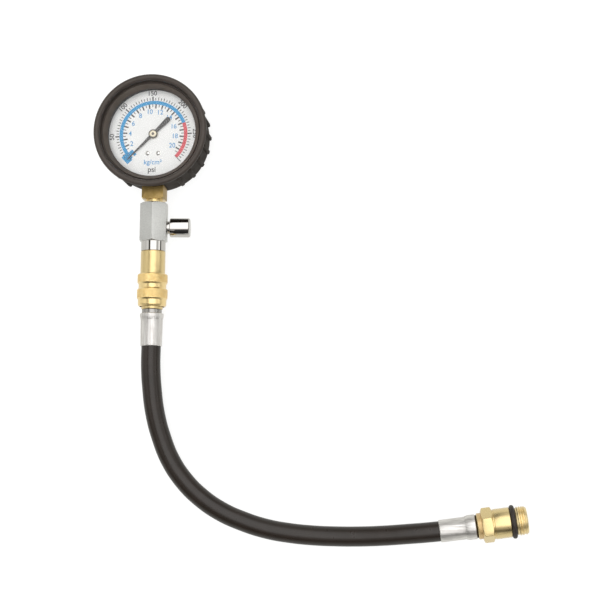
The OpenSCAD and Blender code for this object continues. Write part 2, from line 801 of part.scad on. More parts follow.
module locking_balls() {
    color("silver") on_stem(body_at) for (a = ball_turns) rotate(a)
        translate([ball_ring_r, 0, ball_at]) sphere(ball_r);
}

module coupler_seal() {
    seal_r = 0.55;
    color("black") on_stem(body_at) rotate_extrude()
        translate([socket_r + seal_r, seal_at + 0.8]) circle(seal_r);
}

module sleeve_stop_ring() {
    color("dimgray") on_stem(body_at) ring(barrel_d / 2 + 0.8, barrel_d / 2 - 0.55, ring_at, ring_at + 1);
}

// Hose and its ends

module plug_nipple() {
    catch_r = ball_ring_r - ball_r - 0.05;
    tail_end = collar_end + upper_ferrule_l - 2;
    color("gray") on_stem(body_at) turned([
        [plug_bore_r, plug_top], [plug_r - 0.8, plug_top], [plug_r, plug_top + 0.8],
        [plug_r, ball_at - ball_r - 0.2], [catch_r, ball_at - ball_r + 0.1],
        [catch_r, ball_at + ball_r - 0.1], [plug_r, ball_at + ball_r + 0.2], [plug_r, nose_end + slide_fit],
        [collar_d / 2, nose_end + slide_fit], [collar_d / 2, collar_end], [tail_r, collar_end],
        [tail_r, tail_end - 1], [tail_r - 0.5, tail_end], [plug_bore_r, tail_end]
    ]);
}

// Crimped ferrule: local Z runs from its collar to its mouth
module ferrule(l, neck_at) {
    r = ferrule_d / 2;
    mouth_r = ferrule_bore_r + ferrule_wall;
    shoulder_r = mouth_r + 0.35;
    crimp_end = l - 1.6;
    difference() {
        turned([
            [tail_r + run_fit, 0], [r - 0.3, 0], [r, 0.3], [r, neck_at - 2], [shoulder_r, neck_at],
            [mouth_r + 0.1, l - 0.3], [mouth_r - 0.2, l], [ferrule_bore_r, l], [ferrule_bore_r, end_wall],
            [tail_r + run_fit, end_wall]
        ]);
        // Eight flats left by the crimping jaws
        translate([0, 0, neck_at]) difference() {
            cylinder(r = 2 * r, h = crimp_end - neck_at);
            rotate(22.5) cylinder(r = (mouth_r + 0.06) / cos(22.5), h = 3 * l, center = true, $fn = 8);
        }
    }
}

module upper_ferrule() {
    color("lightgray") on_stem(body_at + collar_end) ferrule(upper_ferrule_l, 4);
}

module lower_ferrule() {
    color("lightgray") on_fitting() translate([0, 0, lower_ferrule_l]) mirror([0, 0, 1])
        ferrule(lower_ferrule_l, 6.5);
}

function unit(v) = v / norm(v);
function along(path, i) = unit(path[min(i + 1, len(path) - 1)] - path[max(i - 1, 0)]);
function hose_ring(path, i, r) =
    let (t = along(path, i), side = unit(cross(t, [0, 0, 1])), up = cross(side, t))
    [for (k = [0:hose_sides - 1])
        let (a = k * 360 / hose_sides) path[i] + r * (cos(a) * side + sin(a) * up)];

module hose() {
    n = len(hose_path);
    count = n * hose_sides;
    points = concat(
        flatten([for (i = [0:n - 1]) hose_ring(hose_path, i, hose_d / 2)]),
        flatten([for (i = [0:n - 1]) hose_ring(hose_path, i, hose_bore / 2)])
    );
    quads = [for (i = [0:n - 2], k = [0:hose_sides - 1])
        let (a = i * hose_sides + k, b = i * hose_sides + (k + 1) % hose_sides)
        [a, b, b + hose_sides, a + hose_sides]];
    rims = [for (k = [0:hose_sides - 1])
        let (m = (k + 1) % hose_sides, z = count - hose_sides)
        each [[k, k + count, m + count, m], [z + k, z + m, z + m + count, z + k + count]]];
    inner = [for (q = quads) [q[3] + count, q[2] + count, q[1] + count, q[0] + count]];
    color("#2e2c2a") polyhedron(points, concat(quads, inner, rims), convexity = 6);
}

module end_fitting() {
    neck_r = 6;
    collar_r = 8.05;
    collar_at = lower_ferrule_l + fitting_neck_l;
    thread_r = plug_thread_d / 2;
    lead_r = thread_r - 1.4;
    land_r = land_d / 2;
    color("goldenrod") on_fitting() difference() {
        union() {
            turned([
                [0, 2], [tail_r - 0.5, 2], [tail_r, 3], [tail_r, lower_ferrule_l], [neck_r, lower_ferrule_l],
                [neck_r, collar_at], [collar_r - 0.4, collar_at], [collar_r, collar_at + 0.4],
                [collar_r, fitting_hex_at + 1], [0, fitting_hex_at + 1]
            ]);
            translate([0, 0, fitting_hex_at]) rotate(fitting_roll)
                hex_bar(fitting_af, fitting_hex_l);
            turned([
                [0, land_at - 1], [land_r - 0.3, land_at - 1], [land_r - 0.3, land_at + 0.6],
                [land_r, land_at + 0.9], [land_r, groove_at - 0.3], [land_r - 0.3, groove_at],
                [ring_floor_r, groove_at], [ring_floor_r, thread_at], [thread_r, thread_at + 0.4],
                [thread_r, thread_end - plug_lead_l], [lead_r, thread_end], [0, thread_end]
            ]);
        }
        cylinder(r = plug_bore_r, h = thread_end);
        translate([0, 0, core_end - core_l - 3]) cylinder(r = core_r + thread_fit, h = core_l + 4);
        translate([0, 0, core_end]) cylinder(r = 4.5, h = thread_end);
    }
}

module fitting_ring_seal() {
    color("black") on_fitting() rotate_extrude()
        translate([ring_floor_r + ring_r, (groove_at + thread_at) / 2]) circle(ring_r);
}

// Valve core in the end fitting, which holds the highest reading
module core_body() {
    color("gold") on_fitting() ring(core_r, core_pin_r + slide_fit, core_end - core_l, core_end);
}

module core_pin() {
    color("silver") on_fitting() turned([
        [0, core_end - core_l - core_reach], [core_pin_r, core_end - core_l - core_reach],
        [core_pin_r, core_end + core_reach], [0, core_end + core_reach]
    ]);
}

module core_seal() {
    seal_r = 1.9;
    seat = core_end - core_l;
    color("black") on_fitting() ring(seal_r, core_pin_r + press_gap, seat - 1.3, seat - run_fit);
}

rubber_boot();
gauge_case();
bezel_ring();
lens();
lens_gasket();
dial_plate();
dial_screws();
pointer();
pointer_bush();
stem_socket();
bourdon_tube();
tube_tip();
link();
sector_gear();
sector_arbor();
pinion_shaft();
back_plate();
front_plate();
movement_pillars();
hairspring();
manifold_block();
valve_guide();
release_button();
valve_stem();
valve_seal();
valve_spring();
coupler_body();
coupler_sleeve();
sleeve_spring();
locking_balls();
coupler_seal();
sleeve_stop_ring();
plug_nipple();
upper_ferrule();
hose();
lower_ferrule();
end_fitting();
fitting_ring_seal();
core_body();
core_pin();
core_seal();
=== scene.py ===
# %% [markdown]
# # A compression tester gauge
# A dial gauge in a rubber boot, a push release valve, a quick coupler and a short hose with a
# brass spark plug fitting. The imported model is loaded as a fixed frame, in metres, and nothing in
# it is moved. This lesson gives every piece its finish, breaks the machined edges, and models what
# is too fine for the solids: the dial's print, the moulded ribs, the knurl and the thread.

# %% Load the frame
import json
import math

import bpy
from mathutils import Matrix, Vector


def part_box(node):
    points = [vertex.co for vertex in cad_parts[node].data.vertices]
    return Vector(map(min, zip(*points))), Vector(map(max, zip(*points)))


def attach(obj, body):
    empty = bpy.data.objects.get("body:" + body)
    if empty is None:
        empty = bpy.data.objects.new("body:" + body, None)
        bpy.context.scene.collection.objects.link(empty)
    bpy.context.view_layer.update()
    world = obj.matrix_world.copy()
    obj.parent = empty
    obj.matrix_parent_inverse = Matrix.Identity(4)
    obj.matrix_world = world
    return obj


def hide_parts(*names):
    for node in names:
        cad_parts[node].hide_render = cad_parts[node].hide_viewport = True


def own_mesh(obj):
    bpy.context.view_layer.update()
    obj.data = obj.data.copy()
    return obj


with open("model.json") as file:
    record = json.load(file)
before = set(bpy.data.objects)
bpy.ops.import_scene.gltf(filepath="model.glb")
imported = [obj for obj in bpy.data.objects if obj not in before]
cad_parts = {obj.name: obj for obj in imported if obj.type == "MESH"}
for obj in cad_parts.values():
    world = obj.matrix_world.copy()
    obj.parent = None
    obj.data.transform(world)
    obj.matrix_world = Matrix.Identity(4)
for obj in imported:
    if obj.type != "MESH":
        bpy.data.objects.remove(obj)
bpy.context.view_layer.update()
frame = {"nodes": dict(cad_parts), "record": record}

MM = 0.001
nodes = frame["nodes"]
scene = bpy.context.scene

# %% [markdown]
# ## Camera
# The object lies on a table and is seen from almost straight above, through a long lens.
# A camera can be placed by eye, but a fitted one is surer. Its angles and distance come from
# known sizes on the object, such as the round boot and the hexagons.

# %% Camera
IMAGE_PX = 600
FOCAL_PX = 1364.3
CAMERA_AT = (0.17507, -0.21515, 0.87373)
CAMERA_TURN = (7.1455, 5.2012, 0.5196)
bpy.ops.object.camera_add(location=CAMERA_AT, rotation=[math.radians(a) for a in CAMERA_TURN])
camera = bpy.context.object
camera.name = "camera"
camera.data.sensor_width = 36
camera.data.lens = camera.data.sensor_width * FOCAL_PX / IMAGE_PX
scene.camera = camera
print("camera: lens", round(camera.data.lens, 1), "mm")

# %% [markdown]
# ## Hose route
# The hose leaves the upper ferrule straight, comes down to the table in a wide bend and climbs a
# little into the lower ferrule, because the brass fitting is thicker than the hose. The points are
# the ones that the solid follows, in millimetres: how far across, how far below the ferrule's
# mouth, and how high.

# %% Hose route
HOSE_D = 12.5
HOSE_TOP = 1.2
HOSE_GRIP = 21.3
FITTING_AT = Vector((184, -252.2, 10.4))
FITTING_ANGLE = math.radians(8)
FITTING_DIR = Vector((math.cos(FITTING_ANGLE), math.sin(FITTING_ANGLE), 0))
HOSE_RUN = [
    (0, 13, 12.7), (1, 28, 11.6), (3, 43, 10), (7, 58, 8.3), (13, 72.5, 7), (22, 85.5, 6.4),
    (33, 96, 6.3), (46, 104.5, 6.3), (60, 110.5, 6.3), (75, 115, 6.3), (90, 117.5, 6.3),
    (105, 118.8, 6.3), (120, 119.2, 6.5), (135, 119, 7.2), (150, 118.2, 8.4), (164, 117, 9.6),
    (175, 116, 10.2),
]
ferrule_low, ferrule_high = (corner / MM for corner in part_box("upper_ferrule"))
STEM_Z = (ferrule_low.z + ferrule_high.z) / 2
mouth = Vector((0, ferrule_low.y, STEM_Z))
route = [Vector((0, ferrule_high.y - HOSE_TOP, STEM_Z)), mouth]
route += [Vector((x, mouth.y - drop, z)) for x, drop, z in HOSE_RUN]
route += [FITTING_AT, FITTING_AT + HOSE_GRIP * FITTING_DIR]
print("hose route:", len(route), "points")

# %% [markdown]
# ## Hose
# The real hose is a fixed length of thick, bendy rubber. A tube could be extruded ring by ring,
# but a curve with a round bevel stays smooth and can be bent again, so the hose is one curve.

# %% Hose
hose_curve = bpy.data.curves.new("rubber_hose", "CURVE")
hose_curve.dimensions = "3D"
hose_curve.bevel_depth = 1.0
hose_curve.bevel_resolution = 10
hose_curve.resolution_u = 10
hose_curve.use_fill_caps = True
spline = hose_curve.splines.new("BEZIER")
spline.bezier_points.add(len(route) - 1)
for knot, point in zip(spline.bezier_points, route):
    knot.co = point * MM
    knot.radius = HOSE_D / 2 * MM
    knot.handle_left_type = knot.handle_right_type = "AUTO"
hose = bpy.data.objects.new("rubber_hose", hose_curve)
scene.collection.objects.link(hose)
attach(hose, "hose_line")
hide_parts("hose")
print("hose:", round(spline.calc_length() / MM, 1), "mm")

# %% [markdown]
# ## Selecting by place
# With no mouse, corners and faces are selected in code. One helper opens a mesh with all of it
# selected. The other selects only those items whose points, in millimetres, pass a test, so a rib
# or an edge is found by where it is.

# %% Selecting by place
def leave():
    """Goes back to object mode."""
    if bpy.context.mode != "OBJECT":
        bpy.ops.object.mode_set(mode="OBJECT")


def edit(obj):
    """Opens one mesh for editing, with all of it selected."""
    leave()
    bpy.ops.object.select_all(action="DESELECT")
    obj.select_set(True)
    bpy.context.view_layer.objects.active = obj
    bpy.ops.object.mode_set(mode="EDIT")
    bpy.ops.mesh.select_mode(type="VERT")
    bpy.ops.mesh.select_all(action="SELECT")


def pick(obj, kind, test):
    """Opens a mesh with only those corners, edges or faces selected whose points pass a test."""
    edit(obj)
    bpy.ops.mesh.select_mode(type=kind)
    bpy.ops.mesh.select_all(action="DESELECT")
    leave()
    mesh = obj.data
    points = [v.co / MM for v in mesh.vertices]
    for item in {"VERT": mesh.vertices, "EDGE": mesh.edges, "FACE": mesh.polygons}[kind]:
        corners = [item.index] if kind == "VERT" else item.vertices
        item.select = bool(test([points[i] for i in corners]))
    bpy.ops.object.mode_set(mode="EDIT")


print("selecting: ready for", len(nodes), "nodes")

# %% [markdown]
# ## Turning a section
# Most pieces here come off a lathe or out of a round mould, so they are made in the same way. One
# point is extruded along half of the section, a row of radii and heights in millimetres, and the
# line is spun about Z. A stack of cylinders would need cutting and joining, and a spun line
# doesn't.

# %% Turning a section
DOUBLES = 0.0005


def drawn(name, section):
    """Draws a section of (radius, height) points in millimetres as a line, and leaves it open."""
    bpy.ops.mesh.primitive_plane_add(size=MM)
    obj = bpy.context.object
    obj.name = obj.data.name = name
    edit(obj)
    bpy.ops.mesh.merge(type="CENTER")
    bpy.ops.transform.translate(value=(section[0][0] * MM, 0, section[0][1] * MM))
    for (r0, z0), (r1, z1) in zip(section, section[1:]):
        bpy.ops.mesh.extrude_vertices_move(
            TRANSFORM_OT_translate={"value": ((r1 - r0) * MM, 0, (z1 - z0) * MM)})
    bpy.ops.mesh.select_all(action="SELECT")
    return obj


def turned(name, section, steps=96, sweep=360):
    """Spins a section about Z."""
    obj = drawn(name, section)
    bpy.ops.mesh.spin(steps=steps, angle=math.radians(sweep), center=(0, 0, 0), axis=(0, 0, 1))
    bpy.ops.mesh.select_all(action="SELECT")
    bpy.ops.mesh.remove_doubles(threshold=DOUBLES * MM)
    bpy.ops.mesh.normals_make_consistent(inside=False)
    leave()
    return obj


def arc(centre, radius, start, end, steps):
    """Points on a round of a section, from one angle in degrees to another."""
    turns = [math.radians(start + (end - start) * i / steps) for i in range(steps + 1)]
    return [(centre[0] + radius * math.cos(a), centre[1] + radius * math.sin(a)) for a in turns]


print("turning: a quarter round ends at", arc((0, 0), 1, 0, 90, 6)[-1])

# %% [markdown]
# ## Finishing a mesh
# A modifier is added and applied at once, and a second mesh can cut a piece or be welded to it. At
# the end doubles are merged, the faces are turned outwards, and the place goes into the piece's own
# points, so that patterns on it stay where they are.

# %% Finishing a mesh
def apply(obj, kind, **settings):
    """Adds one modifier to an object and applies it."""
    edit(obj)
    leave()
    made = obj.modifiers.new(kind.lower(), kind)
    for name, value in settings.items():
        setattr(made, name, value)
    bpy.ops.object.modifier_apply(modifier=made.name)


def carve(obj, other, operation="DIFFERENCE"):
    """Combines a piece with a second mesh, which is used up."""
    apply(obj, "BOOLEAN", object=other, operation=operation, solver="EXACT")
    bpy.data.objects.remove(other)


def break_edges(obj, width, segments, angle):
    """Bevels every edge that is sharper than an angle in degrees."""
    apply(obj, "BEVEL", width=width * MM, segments=segments, limit_method="ANGLE",
          angle_limit=math.radians(angle))


def finished(obj, place=Matrix(), angle=35):
    """Merges doubles, turns the faces outwards, sets a piece in its place and smooths it."""
    edit(obj)
    bpy.ops.mesh.remove_doubles(threshold=DOUBLES * MM)
    bpy.ops.mesh.normals_make_consistent(inside=False)
    leave()
    obj.matrix_world = place
    bpy.ops.object.transform_apply()
    bpy.ops.object.shade_smooth_by_angle(angle=math.radians(angle))
    return obj


print("finishing: doubles closer than", DOUBLES, "mm are merged")

# %% [markdown]
# ## Standing in for a solid
# A new piece takes the place of one solid of the frame. It rides on that solid's body, so it moves
# with the same joint, and it has that solid's material slot.

# %% Standing in for a solid
body_of = {n: b for b, members in frame["record"]["behaviour"]["bodies"].items() for n in members}
slot_of = {part["node"]: part["material_slot"] for part in frame["record"]["subparts"]}
pieces = {}


def stands_for(obj, node):
    """Lets a finished piece take the place of a solid, on that solid's body."""
    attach(obj, body_of[node])
    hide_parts(node)
    pieces[node] = obj


print("solids that a piece may stand for:", len(body_of))

# %% [markdown]
# ## Rubber boot
# The boot is moulded in one: a cup with a rounded back edge, a round bead at the front, a narrow
# groove inside the bead, and a cone that slopes down to the lens. All of it is round, so one
# section is turned. The steps about the axis are counted so that every rib gets whole faces.

# %% Rubber boot
BOOT_R = 34.1
RIBS, STEPS_PER_RIB = 24, 7
RIB_LOW, RIB_HIGH, RIB_OUT = 7, 27, 2.1
boot_back = [(0, 0)] + arc((31.1, 3), 3, -90, 0, 6)
boot_wall = [(BOOT_R, RIB_LOW), (BOOT_R, RIB_HIGH), (34.2, 29.8)]
boot_bead = arc((34.7, 32.6), 2, -75, 205, 22)
boot_groove = [(32.6, 29.2), (32.3, 28.9), (31.7, 28.9), (31.4, 29.2), (31.2, 30)]
boot_cone = [(28.6, 26.9), (28.6, 26.4)]
boot_inside = [(32.22, 26.4), (32.22, 21.3), (30.9, 21.3), (30.9, 3), (0, 3)]
boot = turned("ribbed_boot", boot_back + boot_wall + boot_bead + boot_groove + boot_cone + boot_inside,
              steps=RIBS * STEPS_PER_RIB)
print("boot:", len(boot.data.polygons), "faces before its ribs")

# %% [markdown]
# ## Finding the ribs
# Ribs stand all round the wall, apart from a plain stretch beside the stem. A face belongs to a rib
# when its middle is near the rib's own angle. The edges at a rib's foot lie on the wall's radius.

# %% Finding the ribs
RIB_STEP = 360 / RIBS
RIB_HALF = RIB_STEP / STEPS_PER_RIB
STEM_TURN, PLAIN_BESIDE_STEM = 270, 20
NO_RIB = 99
NEAR, TOUCH = 0.1, 0.01


def middle(points):
    """The middle of some points."""
    return sum(points, Vector()) / len(points)


def turn_of(point):
    """A point's angle about Z in degrees, from 0 to 360."""
    return math.degrees(math.atan2(point.y, point.x)) % 360


def from_rib(point):
    """Degrees from a point to the middle of the nearest rib."""
    turn = turn_of(point)
    if abs(turn - STEM_TURN) < PLAIN_BESIDE_STEM:
        return NO_RIB
    return abs((turn + RIB_STEP / 2) % RIB_STEP - RIB_STEP / 2)


def on_rib(points):
    """True for the wall's faces that become a rib."""
    at = middle(points)
    return RIB_LOW < at.z < RIB_HIGH and at.xy.length > BOOT_R - NEAR and from_rib(at) < RIB_HALF


def rib_root(points):
    """True for the edges where a rib meets the wall."""
    if any(abs(p.xy.length - BOOT_R) > 2 * TOUCH or from_rib(p) > RIB_HALF + NEAR for p in points):
        return False
    beside = all(from_rib(p) > RIB_HALF - NEAR and RIB_LOW - NEAR < p.z < RIB_HIGH + NEAR
                 for p in points)
    across = any(all(abs(p.z - end) < TOUCH for p in points) for end in (RIB_LOW, RIB_HIGH))
    return beside or across


print("ribs: one every", RIB_STEP, "degrees")

# %% [markdown]
# ## Ribs and the stem's hole
# The ribs are pulled out of the wall as blocks, and then their tops are rounded and their roots
# filled, as a mould leaves them. Separate blocks would show a seam. The square hole for the stem
# is cut last.

# %% Ribs and the stem's hole
RIB_TOP_ROUND, RIB_ROOT_ROUND = 1.0, 0.5
SQUARE_HOLE = 14.6
pick(boot, "FACE", on_rib)
bpy.ops.mesh.extrude_region_move()
grow = 1 + RIB_OUT / BOOT_R
bpy.ops.transform.resize(value=(grow, grow, 1), center_override=(0, 0, 0))
bpy.ops.mesh.region_to_loop()
bpy.ops.mesh.bevel(offset=RIB_TOP_ROUND * MM, segments=4, affect="EDGES", clamp_overlap=False)
pick(boot, "EDGE", rib_root)
bpy.ops.mesh.bevel(offset=RIB_ROOT_ROUND * MM, segments=2, affect="EDGES", clamp_overlap=False)
leave()
bpy.ops.mesh.primitive_cube_add(size=SQUARE_HOLE * MM, location=(0, -BOOT_R * MM, STEM_Z * MM))
carve(boot, bpy.context.object)
stands_for(finished(boot, angle=40), "rubber_boot")
print("boot:", len(boot.data.polygons), "faces")

# %% [markdown]
# ## Coupler sleeve
# The coupler's sleeve is turned first, with two grip bands, a groove between them and a rounded
# end. Each band is divided into rows that are as high as the knurl's diamonds are wide.

# %% Coupler sleeve
SLEEVE_DROP = 90.7
KNURL_STEPS = 72
GRIPS = ((9.6, 0.5, 5.7, 6), (9.75, 10.1, 15.8, 7))
GRIP_R = 9.5


def rows(r, low, high, count):
    """Points up a straight band of a section."""
    return [(r, low + (high - low) * i / count) for i in range(count + 1)]


sleeve_outside = [(9.1, 0)] + rows(*GRIPS[0]) + [(8.95, 6.7), (8.95, 9.1)] + rows(*GRIPS[1])
sleeve_end = [(9.2, 16.8)] + arc((7.7, 19.65), 1.45, 0, 76, 6)
sleeve_inside = [(8.05, 17.65), (7.05, 17.65), (7.05, 9.8), (8.35, 9.8), (8.35, 0), (9.1, 0)]
sleeve = turned("knurled_sleeve", sleeve_outside + sleeve_end + sleeve_inside, steps=KNURL_STEPS)
print("sleeve:", len(sleeve.data.polygons), "faces before its knurl")

# %% [markdown]
# ## Knurl
# A knurl is two sets of slanting grooves that leave rows of small pyramids. Cutting the grooves
# one by one would take thousands of cuts. Here every small square of a band is split into four
# triangles, the old square edges go, and the diamonds that are left are raised to points. Seams
# only remember which edges were the old ones.

# %% Knurl
KNURL_RISE = 0.1


def on_grip(points, slack=0):
    """True on the sleeve's two grip bands."""
    at = middle(points)
    return at.xy.length > GRIP_R - slack and any(
        low - slack < at.z < high + slack for r, low, high, count in GRIPS)


pick(sleeve, "FACE", on_grip)
bpy.ops.mesh.select_mode(type="EDGE")
bpy.ops.mesh.mark_seam()
pick(sleeve, "FACE", on_grip)
bpy.ops.mesh.region_to_loop()
bpy.ops.mesh.mark_seam(clear=True)
pick(sleeve, "FACE", on_grip)
bpy.ops.mesh.poke()
bpy.ops.mesh.select_mode(type="EDGE")
bpy.ops.mesh.select_all(action="DESELECT")
leave()
for edge in sleeve.data.edges:
    edge.select = edge.use_seam
bpy.ops.object.mode_set(mode="EDIT")
bpy.ops.mesh.dissolve_edges(use_verts=False)
pick(sleeve, "FACE", lambda points: on_grip(points) and len(points) == 4)
bpy.ops.mesh.poke(offset=KNURL_RISE * MM)
bpy.ops.mesh.select_all(action="SELECT")
bpy.ops.mesh.mark_seam(clear=True)
leave()
print("knurl:", len(sleeve.data.polygons), "faces")

# %% [markdown]
# ## Setting the sleeve on the stem
# The sleeve was turned about Z at the origin, where that is simple. Now it is laid along the stem,
# which runs down the picture at half the coupler's height.

# %% Setting the sleeve on the stem
def at_mm(x, y, z):
    """A move in millimetres."""
    return Matrix.Translation(Vector((x, y, z)) * MM)


def on_stem(drop):
    """Local Z runs down the stem, from a distance below the gauge's axis."""
    return at_mm(0, -drop, STEM_Z) @ Matrix.Rotation(math.pi / 2, 4, "X")


stands_for(finished(sleeve, on_stem(SLEEVE_DROP), angle=25), "coupler_sleeve")
print("sleeve:", SLEEVE_DROP, "mm below the gauge's axis")

# %% [markdown]
# ## Spark plug fitting
# The fitting is turned from one brass bar: a tail inside the hose, a narrow gap beside the ferrule,
# a collar, a round land, a groove for the ring seal, and the thread's core with its lead-in. The
# bore closes the section on the inside.

# %% Spark plug fitting
GAP_FROM, GAP_TO = 22.5, 23.5
GROOVE_FROM, GROOVE_TO = 44, 47.4
FITTING_END = 54.4
fitting_tail = [(1.75, 2), (2.5, 2), (3, 3), (3, GAP_FROM)]
fitting_gap = [(7, GAP_FROM), (7, GAP_TO)]
fitting_collar = [(7.65, GAP_TO), (8.05, 23.9), (8.05, 27.3)]
fitting_land = [(9, 27.3), (9, 33.9), (9.3, 34.2), (9.3, 43.7), (9, GROOVE_FROM)]
fitting_groove = [(7.4, GROOVE_FROM), (7.4, GROOVE_TO)]
thread_core = [(8.3, 47.6), (8.3, 52.6), (8.85, 52.8), (7.85, FITTING_END)]
fitting_bore = [(4.5, FITTING_END), (4.5, GROOVE_TO), (2.65, GROOVE_TO), (2.65, 34.4), (1.75, 34.4),
                (1.75, 2)]
fitting = turned("spark_plug_fitting", fitting_tail + fitting_gap + fitting_collar + fitting_land
                 + fitting_groove + thread_core + fitting_bore)
print("fitting:", len(fitting.data.polygons), "faces before its hexagon")

# %% [markdown]
# ## Hexagon
# A spanner hexagon has its corners cut back by a cone at both ends. So a six-sided prism keeps only
# what it shares with a turned double cone. Then it is welded to the body, and the edges are broken.

# %% Hexagon
HEX_AT, HEX_L, HEX_AF = 26.3, 7, 19
HEX_ROLL = math.radians(6)
FLAT_CUT, CORNER_CLEAR = 0.4, 0.1
HEX_EDGE, FITTING_EDGE = 0.18, 0.12
hex_corner = HEX_AF / math.sqrt(3)
flat_r, edge_r = HEX_AF / 2 - FLAT_CUT, hex_corner + CORNER_CLEAR
lift = (edge_r - flat_r) / 2
bpy.ops.mesh.primitive_cylinder_add(
    vertices=6, radius=hex_corner * MM, depth=HEX_L * MM,
    location=(0, 0, (HEX_AT + HEX_L / 2) * MM), rotation=(0, 0, HEX_ROLL))
hexagon = bpy.context.object
bpy.ops.object.transform_apply()
cones = turned("hexagon_cones", [
    (0, HEX_AT), (flat_r, HEX_AT), (edge_r, HEX_AT + lift), (edge_r, HEX_AT + HEX_L - lift),
    (flat_r, HEX_AT + HEX_L), (0, HEX_AT + HEX_L)])
carve(hexagon, cones, "INTERSECT")
break_edges(hexagon, HEX_EDGE, 2, 30)
carve(fitting, hexagon, "UNION")
break_edges(fitting, FITTING_EDGE, 2, 40)
print("hexagon:", HEX_AF, "mm across its flats")

# %% [markdown]
# ## Thread
# A thread is one ridge that winds up the end. Rings would look alike from afar, but they don't
# climb. So the ridge's section is drawn once, a screw modifier winds it, and both of its ends are
# sunk into the core.

# %% Thread
THREAD_PITCH, THREAD_TURNS, STEPS_PER_TURN = 1.5, 2.5, 72
THREAD_AT, THREAD_ROOT, THREAD_CREST, RIDGE_STEP = 47.75, 8.2, 8.9, 0.45
SUNK = 0.86
END_SLACK, END_DEGREES = 0.05, 1
thread = drawn("thread", [
    (THREAD_ROOT, THREAD_AT), (THREAD_CREST, THREAD_AT + RIDGE_STEP),
    (THREAD_CREST, THREAD_AT + 2 * RIDGE_STEP), (THREAD_ROOT, THREAD_AT + 3 * RIDGE_STEP)])
thread_steps = int(STEPS_PER_TURN * THREAD_TURNS)
apply(thread, "SCREW", axis="Z", angle=2 * math.pi * THREAD_TURNS, steps=thread_steps,
      render_steps=thread_steps, screw_offset=THREAD_PITCH * THREAD_TURNS * MM)
last_turn = THREAD_TURNS % 1 * 360
last_rise = THREAD_AT + THREAD_PITCH * THREAD_TURNS


def thread_end(points):
    """True for the corners of the ridge's first and last section."""
    turn, height = turn_of(points[0]), points[0].z
    first_top = THREAD_AT + 3 * RIDGE_STEP
    first = height < first_top + END_SLACK and min(turn, 360 - turn) < END_DEGREES
    last = height > last_rise - END_SLACK and abs(turn - last_turn) < END_DEGREES
    return first or last


pick(thread, "VERT", thread_end)
bpy.ops.transform.resize(value=(SUNK, SUNK, 1), center_override=(0, 0, 0))
leave()
print("thread:", THREAD_TURNS, "turns of", THREAD_PITCH, "mm")

# %% [markdown]
# ## Setting the fitting on the hose
# Body and thread become one mesh, and it is laid along the hose's end. The ring seal is a round of
# rubber in its groove, so it is a circle that is turned like the rest.

# %% Setting the fitting on the hose
RING_AT, RING_R, RING_SECTION = 45.7, 8.9, 1.5
on_fitting = (at_mm(*FITTING_AT) @ Matrix.Rotation(FITTING_ANGLE, 4, "Z")
              @ Matrix.Rotation(math.pi / 2, 4, "Y"))


def joined(name, parts):
    """Joins several meshes into one."""
    bpy.ops.object.select_all(action="DESELECT")
    for part in parts:
        part.select_set(True)
    bpy.context.view_layer.objects.active = parts[0]
    bpy.ops.object.join()
    parts[0].name = parts[0].data.name = name
    return parts[0]


fitting = joined("spark_plug_fitting", [fitting, thread])
stands_for(finished(fitting, on_fitting, angle=30), "end_fitting")
ring_seal = turned("ring_seal", arc((RING_R, RING_AT), RING_SECTION, 0, 360, 24))
stands_for(finished(ring_seal, on_fitting, angle=60), "fitting_ring_seal")
print("fitting:", len(fitting.data.polygons), "faces, ring seal:", len(ring_seal.data.polygons))

# %% [markdown]
# ## Broken edges
# Machined pieces are never truly sharp, and a thin bright line runs along each edge. Copies of the
# solids get that line from a small bevel, as wide as the tool left it. A solid's mesh is loose
# triangles, so its copy is merged and its flat faces are made whole first. The stem also gets the
# bare round neck that is turned on it above the manifold.

# %% Broken edges
EDGE_WIDTHS = {
    "stem_socket": 0.35, "manifold_block": 0.3, "release_button": 0.22, "valve_guide": 0.15,
    "coupler_body": 0.2, "plug_nipple": 0.15, "upper_ferrule": 0.2, "lower_ferrule": 0.2,
    "pointer": 0.1, "pointer_bush": 0.1}
SQUARE_END, NECK_GAP, NECK_R, NECK_L, NECK_TOOL_R = 42.5, 1.5, 5.4, 2.1, 12


def solid_copy(node):
    """A copy of a solid's mesh, merged and with its flat faces made whole."""
    name = node + "_finished"
    made = bpy.data.objects.new(name, nodes[node].data.copy())
    made.data.name = name
    scene.collection.objects.link(made)
    edit(made)
    bpy.ops.mesh.customdata_custom_splitnormals_clear()
    bpy.ops.mesh.remove_doubles(threshold=2 * DOUBLES * MM)
    bpy.ops.mesh.dissolve_limited(angle_limit=math.radians(1))
    return made


neck_tool = turned("neck_tool", [
    (NECK_R, 0), (NECK_TOOL_R, 0), (NECK_TOOL_R, NECK_L), (NECK_R, NECK_L), (NECK_R, 0)])
finished(neck_tool, on_stem(SQUARE_END + NECK_GAP - NECK_L))
for node, width in EDGE_WIDTHS.items():
    copy = solid_copy(node)
    if node == "stem_socket":
        carve(copy, neck_tool)
    break_edges(copy, width, 3, 30)
    stands_for(finished(copy), node)
print("broken edges on", len(EDGE_WIDTHS), "pieces")

# %% [markdown]
# ## Springs
# A return spring gets shorter as its slide is pushed. Here each spring is a merged copy of its solid,
# on that solid's body and with a mesh of its own.

# %% Springs
SPRING_SLIDES = {"valve_spring": "release_press", "sleeve_spring": "sleeve_slide"}
for node, slide in SPRING_SLIDES.items():
    coil = finished(solid_copy(node))
    stands_for(coil, node)
    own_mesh(coil)

# %% [markdown]
# ## Dial screws
# Two small screws hold the dial. Their heads are domed and slotted, so they catch a bright spot
# and a dark crescent. One screw is turned and slotted, and each place gets a copy of its mesh.

